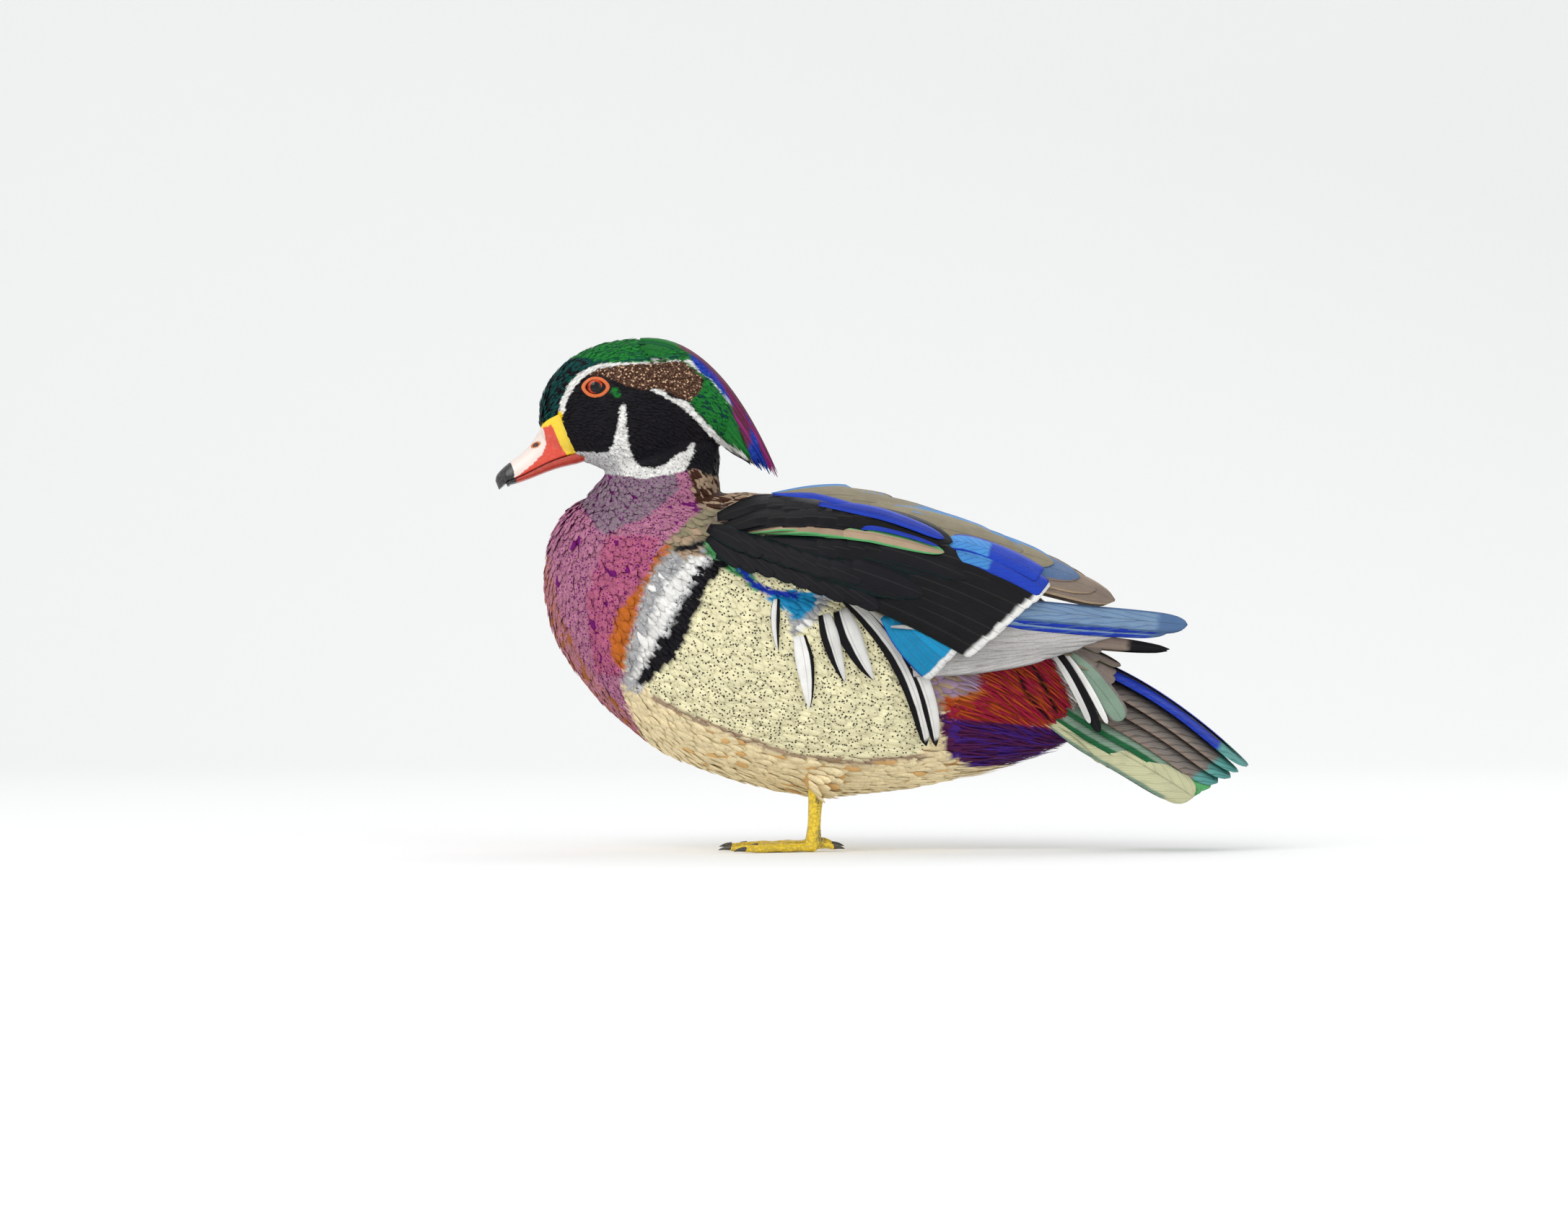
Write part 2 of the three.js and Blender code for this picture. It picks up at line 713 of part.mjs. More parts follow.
function wingFeathers() {
  const vanes = [];
  const add = (feather) => vanes.push(sideVane(wing, feather));
  // Primaries, from the long upper one down
  for (let i = 0; i < 4; i++)
    add({
      root: [38 - i, 116 - 2.6 * i],
      tip: [178 - [0, 8, 20, 34][i], 108.5 - [0, 13, 7, 6][i]],
      half: 5.6,
      bow: 2.5 - 1.4 * i,
      lift: [-3 - 0.2 * i, 0.4 - i],
    });
  // Secondaries, whose blue webs and white ends show below the black
  for (let i = 0; i < 3; i++)
    add({
      root: [20 + 9 * i, 117 + 2.4 * i],
      tip: [55 + 7 * i, 83 + 7.5 * i],
      half: 6,
      bow: -3,
      lift: [-2, 1.4 - 1 * i],
      outline: "square",
    });
  // Black tertials with white ends
  for (let i = 0; i < 3; i++)
    add({
      root: [2 + 6 * i, 130 + 8 * i],
      tip: [79 + 12.5 * i, 99.5 + 10 * i],
      half: 7.6,
      bow: 2.5,
      lift: [-2, 2.6 + i],
      outline: "square",
    });
  // The blue tertial and the brown ones above it
  add({ root: [22, 149], tip: [109, 124], half: 5.8, bow: 6.5, lift: [-2, 5.7] });
  for (let i = 0; i < 2; i++)
    add({
      root: [16 - 10 * i, 152 + 3 * i],
      tip: [142 - 30 * i, 118 + 14.5 * i],
      half: 8.6,
      bow: 3.5 - i,
      lift: [-2, 1.6 + i],
      outline: "broad",
    });
  // Long feathers of the shoulder
  for (let i = 0; i < 3; i++)
    add({
      root: [-44 + 4 * i, 147 + 6.4 * i],
      tip: [63 - 11 * i, 141.5 + 8 * i],
      half: 6.8,
      bow: 4.5 - 0.6 * i,
      lift: [-2, 4.4 + (2 - i)],
    });
  // Two rows of coverts over the wrist and forearm
  for (let row = 0; row < 2; row++)
    for (let i = 0; i < 3; i++)
      add({
        root: [-46 + 25 * i + 6 * row, 148 - 8 * i + 4 * row],
        tip: [-21 + 27 * i + 5 * row, 129 - 4.4 * i + 6 * row],
        half: 11,
        lift: [-1.5, 1 + 0.9 * row + 0.15 * i],
        outline: "broad",
      });
  return vanes;
}

function wingNode() {
  return whole(join([armCore(), ...wingFeathers()]).subtract(bodySolid(GAP)));
}

// Legs

const TOES = [
  ["inner", 27],
  ["middle", 2],
  ["outer", -24],
];

// A point on the foot, from a length and a turn towards the bird's middle plane.
function footPoint(length, turn, z) {
  const angle = radians(turn);
  return vector(-length * Math.cos(angle), -LEG_SPREAD + length * Math.sin(angle), z);
}

// One toe, whose underside is worn flat along the floor.
function toe(length, turn) {
  const knuckles = [0, 0.3, 0.38, 0.66, 0.92, 1];
  const radii = [2.9, 2.1, 2.3, 1.8, 1.55, 1.35];
  const flat = 0.85;
  const worn = 0.3;
  return limb(
    knuckles.map((t, i) => footPoint(length * t, turn, flat * radii[i] - worn)),
    radii,
    8,
    flat,
  );
}

// An upright round of the leg through sections: [z, x, half-length, half-width].
function shank(table, sides = 12) {
  return loft(
    table.map(([z, x, long, wide]) =>
      Array.from({ length: sides }, (_, j) => {
        const angle = (j / sides) * 2 * Math.PI;
        return vector(x + long * Math.cos(angle), -LEG_SPREAD + wide * Math.sin(angle), z);
      }),
    ),
  );
}

// The feathered shank, which comes down out of the belly.
function thighSolid(grow = 0) {
  const table = [
    [ANKLE_Z + GAP, 1.2, 4.4, 3.7],
    [30.5, 1.6, 6.4, 5.4],
    [37, 3, 9.5, 8],
    [48, 6, 13, 9],
  ];
  const last = table.length - 1;
  return shank(
    table.map(([z, x, long, wide], i) => [
      z + (i === 0 ? -grow : i === last ? grow : 0),
      x,
      long + grow,
      wide + grow,
    ]),
    14,
  );
}

function footNodes() {
  const toes = TOES.map(([name, turn]) => toe(TOE_LENGTHS[name], turn));
  toes.push(
    limb(
      [footPoint(0, 0, 3.6), footPoint(-6, -20, 3.4), footPoint(-TOE_LENGTHS.hind, -20, 2)],
      [2.4, 1.7, 1.2],
      8,
    ),
  );
  const web = new THREE.Shape();
  const reach = TOES.map(([name, turn]) => footPoint(TOE_LENGTHS[name] * 0.95, turn, 0));
  const notch = [1, 2].map((k) =>
    footPoint(
      (TOE_LENGTHS[TOES[k - 1][0]] + TOE_LENGTHS[TOES[k][0]]) * 0.39,
      (TOES[k - 1][1] + TOES[k][1]) / 2,
      0,
    ),
  );
  web.moveTo(1.5, -LEG_SPREAD);
  web.lineTo(reach[0].x, reach[0].y);
  web.quadraticCurveTo(notch[0].x, notch[0].y, reach[1].x, reach[1].y);
  web.quadraticCurveTo(notch[1].x, notch[1].y, reach[2].x, reach[2].y);
  web.closePath();
  const skin = new THREE.ExtrudeGeometry(web, { depth: 1, bevelEnabled: false, curveSegments: 3 });
  skin.translate(0, 0, 0.6);
  const hub = ball(3.6, [0, -LEG_SPREAD, 4.2], 12, 6);
  const tarsus = shank([
    [8.6, 0, 3.3, 2.9],
    [12, 0.1, 3, 2.5],
    [19, 0.4, 3.1, 2.5],
    [24.5, 0.8, 3.5, 2.8],
    [ANKLE_Z, 1.2, 4, 3.3],
  ]);
  const ankle = shank([
    [3, -0.5, 3.6, 3],
    [8.6 - GAP, 0, 3.4, 3],
  ]);
  const foot = join([...toes, solidFromLoose(skin), hub, ankle]).trimByPlane([0, 0, 1], 0);
  const nodes = {
    foot: whole(foot),
    tarsus,
    thigh: thighSolid(),
  };
  for (const [name, turn] of TOES) nodes["claw_" + name] = claw(TOE_LENGTHS[name], turn, 0.9, 1);
  nodes.claw_hind = claw(-TOE_LENGTHS.hind, -20, 2, -1);
  return nodes;
}

function claw(length, turn, z, way) {
  const steps = [0, 0.6, 1];
  return limb(
    steps.map((t) => footPoint(length + way * (GAP + CLAW * t), turn, z + 0.35 - 0.9 * t * t)),
    [1.05, 0.7, 0.2],
    6,
  );
}

// The finished bird

function material(name) {
  const look = FINISH[name] ?? { roughness: 0.75, metalness: 0 };
  return new THREE.MeshStandardMaterial({ color: COLOUR[name], ...look });
}

function mesh(name, solid, colour) {
  const { vertProperties, triVerts } = solid.getMesh();
  const geometry = new THREE.BufferGeometry();
  geometry.setAttribute("position", new THREE.BufferAttribute(vertProperties, 3));
  geometry.setIndex(new THREE.BufferAttribute(triVerts, 1));
  geometry.computeVertexNormals();
  const made = new THREE.Mesh(geometry, material(colour));
  made.name = name;
  return made;
}

const duck = new THREE.Group();
const { head, crest } = headNodes();
const bill = billNodes();
const bodyParts = bodyNodes();
duck.add(mesh("head", head, "face"));
duck.add(mesh("crest", crest, "crown"));
duck.add(mesh("bill_upper", bill.bill_upper, "scarlet"));
duck.add(mesh("bill_lower", bill.bill_lower, "coral"));
const BODY_COLOURS = { neck: "plum", breast: "plum", torso: "cream", rump: "maroon", tail: "slate" };
for (const [name, colour] of Object.entries(BODY_COLOURS))
  duck.add(mesh(name, bodyParts[name], colour));

const leg = footNodes();
const sides = { left: new THREE.Group(), right: new THREE.Group() };
sides.right.scale.y = -1;
for (const [side, group] of Object.entries(sides)) {
  group.add(mesh("eye_" + side, ball(EYE_RADIUS, eyeCentre(-1)), "iris"));
  group.add(mesh("wing_" + side, wingNode(), "black"));
  group.add(mesh("thigh_" + side, leg.thigh, "cream"));
  group.add(mesh("tarsus_" + side, leg.tarsus, "ochre"));
  group.add(mesh("foot_" + side, leg.foot, "ochre"));
  for (const toeName of ["inner", "middle", "outer", "hind"])
    group.add(mesh("claw_" + side + "_" + toeName, leg["claw_" + toeName], "horn"));
  duck.add(group);
}

// The middle of the bird's length stands over the origin
const reach = new THREE.Box3().setFromObject(duck);
duck.position.x = -(reach.min.x + reach.max.x) / 2;

export default duck;
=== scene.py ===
"""The visual model of a drake wood duck that stands at rest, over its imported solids.

Places are given in millimetres from a point on the ground below the bird's ankles. The bird faces -X and its
left side is -Y. Markings are shapes drawn in the view of the bird's side, and both sides carry the same ones.
"""

import logging
import math
from dataclasses import dataclass, field, replace
from enum import Enum, IntEnum
from typing import Callable, Sequence

import bpy
import numpy as np
from mathutils import Matrix, Vector, kdtree


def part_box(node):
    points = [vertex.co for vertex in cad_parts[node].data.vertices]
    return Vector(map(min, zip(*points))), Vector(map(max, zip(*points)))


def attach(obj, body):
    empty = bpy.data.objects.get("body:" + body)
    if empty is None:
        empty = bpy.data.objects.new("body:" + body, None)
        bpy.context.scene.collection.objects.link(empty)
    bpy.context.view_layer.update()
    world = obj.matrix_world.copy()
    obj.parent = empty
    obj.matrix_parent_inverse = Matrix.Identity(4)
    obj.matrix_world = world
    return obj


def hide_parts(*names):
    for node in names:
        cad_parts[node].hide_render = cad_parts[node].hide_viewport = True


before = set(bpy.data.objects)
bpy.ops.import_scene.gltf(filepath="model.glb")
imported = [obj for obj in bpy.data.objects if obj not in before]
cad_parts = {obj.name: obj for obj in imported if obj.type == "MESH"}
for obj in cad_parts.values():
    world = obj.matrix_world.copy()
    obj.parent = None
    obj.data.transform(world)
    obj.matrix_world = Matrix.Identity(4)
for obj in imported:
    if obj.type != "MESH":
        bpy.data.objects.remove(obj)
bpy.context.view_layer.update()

MM = 0.001  # a millimetre in Blender's metres
ANKLE_FRONT = 5.2  # from the ankle's axis to the back of the shank's top
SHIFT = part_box("tarsus_left")[1].x * 1000 - ANKLE_FRONT
HEAD_AT = np.array([-85.0, 0.0, 178.0])  # the start of the head's own frame
EYE_RADIUS = 5.9
EYE_AT = (-19.0, 43.0)  # x and z in the head's frame
LEG_SPREAD = 24.0  # from the middle plane to a leg
GAP = 0.3  # between the two halves of the bill
PHASES = (0, 6.28)  # where a wave may start, in radians
log = logging.getLogger("duck")
Array = np.ndarray
Pair = tuple[Array, Array]
Rng = np.random.Generator
Key = str | int
Object = bpy.types.Object
Mesh = bpy.types.Mesh
Material = bpy.types.Material
Points = Sequence[tuple[float, ...]]
Colour = tuple[float, float, float]
Place = tuple[float, float, float]


# Small tools


class Side(IntEnum):
    """The bird's two sides, as the sign of Y."""

    LEFT = -1
    RIGHT = 1

    @property
    def word(self) -> str:
        """The side's name. Returns: left or right."""
        return self.name.lower()


def unit(v: Array) -> Array:
    """Scales vectors to length one. Args: v. Returns: the same directions."""
    return v / np.maximum(np.linalg.norm(v, axis=-1, keepdims=True), 1e-9)


def mix(a: float, b: float, t: float) -> float:
    """Blends two values. Args: a; b; t, the share of b. Returns: the blend."""
    return a + (b - a) * t


def squarer(wave: Array, power: float) -> Array:
    """Makes a sine or cosine fuller. Args: wave; power, under one for fuller. Returns: the new wave."""
    return np.sign(wave) * np.abs(wave) ** power


def angles(count: int, start: float = 0.0) -> Array:
    """Spaces angles round a circle. Args: count; start, a share of one step. Returns: the angles."""
    return (np.arange(count) + start) / count * 2 * np.pi


class Curve:
    """A smooth line through values at rising places."""

    def __init__(self, places: Sequence[float], values: Sequence[float]) -> None:
        """Keeps the places, values and slopes.

        Args:
            places: rising numbers.
            values: one for each place.
        """
        self.x = np.array(places, float)
        self.y = np.array(values, float)
        ahead = np.append(self.y[1:], self.y[-1]) - np.insert(self.y[:-1], 0, self.y[0])
        run = np.append(self.x[1:], self.x[-1]) - np.insert(self.x[:-1], 0, self.x[0])
        self.slope = ahead / run

    def __call__(self, at: Array) -> Array:
        """Reads the line.

        Args:
            at: places.

        Returns:
            The values there.
        """
        at = np.clip(np.asarray(at, float), self.x[0], self.x[-1])
        i = np.clip(np.searchsorted(self.x, at, "right") - 1, 0, len(self.x) - 2)
        span = self.x[i + 1] - self.x[i]
        t = (at - self.x[i]) / span
        return (
            self.y[i] * (1 + 2 * t) * (1 - t) ** 2
            + self.y[i + 1] * t * t * (3 - 2 * t)
            + self.slope[i] * span * t * (1 - t) ** 2
            + self.slope[i + 1] * span * t * t * (t - 1)
        )


def curves(table: Points, *columns: int) -> list[Curve]:
    """Makes smooth lines over a table's first column. Args: table; columns. Returns: one for each."""
    rows = np.array(table, float)
    return [Curve(rows[:, 0], rows[:, column]) for column in columns]


@dataclass(frozen=True)
class Tube:
    """Sections along X with rounded corners: each row is x, top, bottom, half-width."""

    table: Points
    round: float
    taper: float = 0.0

    def __post_init__(self) -> None:
        """Makes the smooth lines through the table."""
        for name, line in zip(("top", "bottom", "half"), curves(self.table, 1, 2, 3)):
            object.__setattr__(self, name, line)

    def side(self, x: Array, z: Array) -> Array:
        """Measures the distance from the middle plane to the side.

        Args:
            x: places along the bird.
            z: heights.

        Returns:
            The distances.
        """
        top, bottom = self.top(x), self.bottom(x)
        high = np.clip((2 * z - top - bottom) / (top - bottom), -0.995, 0.995)
        side = self.half(x) * (1 - np.abs(high) ** self.round) ** (1 / self.round)
        return side * (1 - self.taper * high)

    def rings(self, places: Array, sides: int, grow: float) -> Array:
        """Lays the sections out.

        Args:
            places: where along X.
            sides: points in each section.
            grow: how much larger the shape is made all round.

        Returns:
            An array of sections, points, and coordinates.
        """
        angle = angles(sides, 0.5)
        out, up = (squarer(f(angle), 2 / self.round) for f in (np.cos, np.sin))
        x = np.asarray(places)[:, None]
        middle = (self.top(x) + self.bottom(x)) / 2
        high = (self.top(x) - self.bottom(x)) / 2 + grow
        wide = (self.half(x) + grow) * out * (1 - self.taper * up)
        return np.stack([x + 0 * wide, wide, middle + high * up], -1)


BODY_HALF = 51.5
BODY = Tube(
    [
        (x, top, bottom, share * BODY_HALF)
        for x, top, bottom, share in (
            (-128.5, 131, 126, 0.03), (-126.5, 145, 112, 0.27), (-121, 159, 97, 0.47),
            (-110, 169.5, 80, 0.67), (-95, 175, 64, 0.84), (-75, 175.5, 48, 0.95),
            (-50, 173, 37, 1), (-25, 171.5, 29.5, 1), (0, 169.5, 25, 0.98),
            (25, 164.5, 26.5, 0.93), (50, 156, 29.5, 0.84), (75, 144.5, 35, 0.71),
            (95, 131, 41, 0.57), (110, 119.5, 47, 0.44), (122, 108.5, 54, 0.32),
            (131, 97, 61, 0.2), (135, 86, 68, 0.07),
        )
    ],
    2.15,
)
WING = Tube(
    [
        (-62, 176, 50, 50), (-40, 176.5, 50, 54), (-10, 176, 50, 56.5), (20, 171.5, 50, 56),
        (50, 162.5, 50, 51.5), (80, 152, 52, 43.5), (110, 139.5, 58, 33), (140, 127.5, 70, 22),
        (182, 121, 85, 11),
    ],
    2.3,
)
HEAD = Tube(
    [
        (-46.6, 31, 27, 1.5), (-45.2, 39, 20, 6.5), (-42, 46.5, 14, 9), (-36, 54, 11, 11.6),
        (-28, 60, 8.5, 14), (-19, 64, 5, 16.4), (-9, 66.4, 1, 19.2), (2, 67, -1.2, 21.2),
        (13, 65.6, 0.4, 21), (23, 62, 5, 18.4), (32, 55.5, 10, 14.6), (39, 48, 15, 10.5),
        (44.5, 40.5, 21, 6), (47, 33, 27, 2),
    ],
    2.0,
    0.34,
)
# The neck and a feathered shank, in rows of height, middle, half-length and half-width
NECK = [(150, -77, 42, 33), (162, -77, 36, 29), (172, -75.5, 31.5, 26), (181, -72.5, 28, 22.5),
        (191, -70, 26, 20), (203, -68, 22, 17)]
SHANK = [(27.7, 1.2, 4.4, 3.7), (30.5, 1.6, 6.4, 5.4), (37, 3, 9.5, 8), (48, 6, 13, 9)]
# The rim of a folded wing's arm, seen from the side
ARM = [
    (-54, 156), (-50, 144), (-38, 133), (-22, 124), (-4, 121), (14, 119.5), (32, 112),
    (47, 102), (55, 112), (52, 132), (38, 151), (14, 163.5), (-12, 169.5), (-38, 168.5),
]


# Mesh building


@dataclass
class Shell:
    """Points, faces and per-point vectors of a mesh under construction, in millimetres."""

    points: Array
    faces: Array
    values: dict[str, Array] = field(default_factory=dict)
    across: Array | None = None

    @staticmethod
    def join(shells: Sequence["Shell"]) -> "Shell":
        """Puts several into one.

        Args:
            shells: the parts, with the same named values.

        Returns:
            One shell.
        """
        starts = np.cumsum([0] + [len(s.points) for s in shells[:-1]])
        return Shell(
            np.concatenate([s.points for s in shells]),
            np.concatenate([s.faces + start for s, start in zip(shells, starts)]),
            {k: np.concatenate([s.values[k] for s in shells]) for k in shells[0].values},
            None if shells[0].across is None else np.concatenate([s.across for s in shells]),
        )

    def mirrored(self) -> "Shell":
        """Gives the shape on the other side of the bird. Returns: the mirrored shell."""
        return Shell(self.points * (1, -1, 1), self.faces[:, ::-1], dict(self.values), self.across)

    def tinted(self, colour: Colour) -> "Shell":
        """Paints it all in one colour. Args: colour. Returns: itself."""
        self.values = {"tint": np.tile(np.array(colour), (len(self.points), 1))}
        return self


def triangles(a: Array, b: Array, c: Array, d: Array) -> Array:
    """Cuts four-sided faces in two. Args: a, b, c and d, the corners in order. Returns: the triangles."""
    return np.concatenate([np.stack([a, b, c], -1).reshape(-1, 3), np.stack([a, c, d], -1).reshape(-1, 3)])


def outwards(points: Array, faces: Array, inside: Array | float = 0.0) -> Array:
    """Turns the faces of a closed surface outwards.

    Args:
        points: its points.
        faces: its triangles, all wound the same way.
        inside: a place to measure from.

    Returns:
        The triangles.
    """
    p = points[faces] - inside
    volume = np.einsum("ij,ij->i", p[:, 0], np.cross(p[:, 1], p[:, 2])).sum()
    return faces[:, ::-1] if volume < 0 else faces


def loft(rings: Array) -> Shell:
    """Makes a closed shell through rings.

    Args:
        rings: sections, points, coordinates.

    Returns:
        The shell, with faces outwards.
    """
    count, sides = rings.shape[:2]
    index = np.arange(count * sides).reshape(count, sides)
    turned = np.roll(index, -1, 1)
    faces = [triangles(index[:-1], turned[:-1], turned[1:], index[1:])]
    points = np.concatenate([rings.reshape(-1, 3), rings[[0, -1]].mean(1)])
    for row, middle, flip in ((0, count * sides, True), (-1, count * sides + 1, False)):
        pair = [index[row], turned[row]][:: -1 if flip else 1]
        faces.append(np.stack([*pair, np.full(sides, middle)], -1))
    return Shell(points, outwards(points, np.concatenate(faces)))


def limb(path: Array, radii: Sequence[float], sides: int = 20, flat: float = 1.0) -> Shell:
    """Makes a round limb along a path.

    Args:
        path: points.
        radii: one at each point.
        sides: points round it.
        flat: its height over its width.

    Returns:
        The closed shell.
    """
    along = unit(np.gradient(path, axis=0))
    across = unit(np.cross(along, (0.02, 0.01, 1.0)))
    up = np.cross(across, along)
    angle = angles(sides)
    r = np.asarray(radii, float)[:, None, None]
    ring = across[:, None] * np.cos(angle)[:, None] + up[:, None] * np.sin(angle)[:, None] * flat
    return loft(path[:, None] + r * ring)


def fine(path: Points, radii: Sequence[float], count: int) -> Pair:
    """Adds smooth points between those of a path.

    Args:
        path: points.
        radii: one at each point.
        count: how many come back.

    Returns:
        The finer path and radii.
    """
    rows = np.column_stack([np.array(path, float), radii])
    at = np.linspace(0, len(rows) - 1, count)
    dense = np.stack([Curve(np.arange(len(rows)), column)(at) for column in rows.T], -1)
    return dense[:, :3], dense[:, 3]


def fetch(rows: bpy.types.bpy_prop_collection, key: str, width: int, kind: type = np.float32) -> Array:
    """Reads a property of many things.

    Args:
        rows: points, corners, triangles or values.
        key: the property.
        width: how many numbers each has.
        kind: the type of number.

    Returns:
        One row of numbers for each.
    """
    flat = np.zeros(len(rows) * width, kind)
    rows.foreach_get(key, flat)
    return flat.reshape(-1, width)


def write_values(mesh: Mesh, values: dict[str, Array]) -> None:
    """Writes per-point vectors. Args: mesh; values, the vectors by name."""
    for key, value in values.items():
        made = mesh.attributes.new(key, "FLOAT_VECTOR", "POINT")
        made.data.foreach_set("vector", np.ascontiguousarray(value, np.float32).ravel())


def write_map(mesh: Mesh, name: str, places: Array) -> None:
    """Writes a flat map.

    Args:
        mesh: the mesh.
        name: the map.
        places: a place on the map for each point.
    """
    corner = fetch(mesh.loops, "vertex_index", 1, np.int32)[:, 0]
    layer = mesh.uv_layers.get(name) or mesh.uv_layers.new(name=name)
    layer.data.foreach_set("uv", places[corner].astype(np.float32).ravel())


def linked(name: str, data: bpy.types.ID) -> Object:
    """Puts an object into the scene. Args: name; data, its mesh, lamp or camera. Returns: the object."""
    made = bpy.data.objects.new(name, data)
    bpy.context.scene.collection.objects.link(made)
    return made


def to_object(name: str, shell: Shell) -> Object:
    """Makes a Blender object from a shell.

    Args:
        name: the object's name.
        shell: points in millimetres from the ankles' place.

    Returns:
        The linked object, at the origin.
    """
    mesh = bpy.data.meshes.new(name)
    mesh.from_pydata(((shell.points + (SHIFT, 0, 0)) * MM).tolist(), [], shell.faces.tolist())
    write_values(mesh, shell.values)
    if len(shell.faces):
        if shell.across is not None:
            write_map(mesh, "vane", shell.across)
        mesh.shade_smooth()
    return linked(name, mesh)


def settle(obj: Object) -> None:
    """Turns the result of an object's modifiers into its plain mesh. Args: obj."""
    bpy.context.view_layer.update()
    graph = bpy.context.evaluated_depsgraph_get()
    made = bpy.data.meshes.new_from_object(obj.evaluated_get(graph), depsgraph=graph)
    obj.modifiers.clear()
    made.name = obj.name
    obj.data = made


def fused(name: str, shells: Sequence[Shell], grain: float, rounds: int) -> Object:
    """Joins closed shells into one skin with no seam.

    Args:
        name: the object's name.
        shells: what is joined.
        grain: the size of the new surface's faces, in millimetres.
        rounds: how often it is smoothed.

    Returns:
        The new object.
    """
    obj = to_object(name, Shell.join(shells))
    remesh = obj.modifiers.new("one_skin", "REMESH")
    remesh.mode = "VOXEL"
    remesh.voxel_size = grain * MM
    soft = obj.modifiers.new("soft", "SMOOTH")
    soft.factor = 0.5
    soft.iterations = rounds
    settle(obj)
    obj.data.shade_smooth()
    return obj


def read_points(mesh: Mesh) -> Array:
    """Reads a mesh's points. Args: mesh. Returns: millimetres from the ankles' place."""
    return fetch(mesh.vertices, "co", 3).astype(float) * 1000 - (SHIFT, 0, 0)


# Node graphs


class Sock:
    """A node's output that takes part in arithmetic."""

    def __init__(self, graph: "Graph", socket: bpy.types.NodeSocket) -> None:
        """Keeps the output. Args: graph, where new nodes go; socket."""
        self.graph = graph
        self.socket = socket

    def math(self, operation: str, *others: "Sock | float") -> "Sock":
        """Adds a Math node after this. Args: operation; others, its other inputs. Returns: the result."""
        return self.graph.math(operation, self, *others)

    def __add__(self, other: "Sock | float") -> "Sock":
        """Adds. Args: other. Returns: the sum."""
        return self.math("ADD", other)

    def __sub__(self, other: "Sock | float") -> "Sock":
        """Subtracts. Args: other. Returns: the difference."""
        return self.math("SUBTRACT", other)

    def __rsub__(self, other: float) -> "Sock":
        """Subtracts this from a number. Args: other. Returns: the difference."""
        return self.graph.math("SUBTRACT", other, self)

    def __mul__(self, other: "Sock | float") -> "Sock":
        """Multiplies. Args: other. Returns: the product."""
        return self.math("MULTIPLY", other)

    __radd__ = __add__
    __rmul__ = __mul__

    def step(self, low: "Sock | float", high: "Sock | float") -> "Sock":
        """Rises smoothly from 0 to 1. Args: low and high, where it starts and ends. Returns: the share."""
        values = {"Value": self, "From Min": low, "From Max": high}
        return self.graph.out("ShaderNodeMapRange", "Result", {"interpolation_type": "SMOOTHSTEP"}, values)

    def wave(self) -> "Sock":
        """Turns whole numbers into full waves. Returns: their sine."""
        return (self * 6.283).math("SINE")


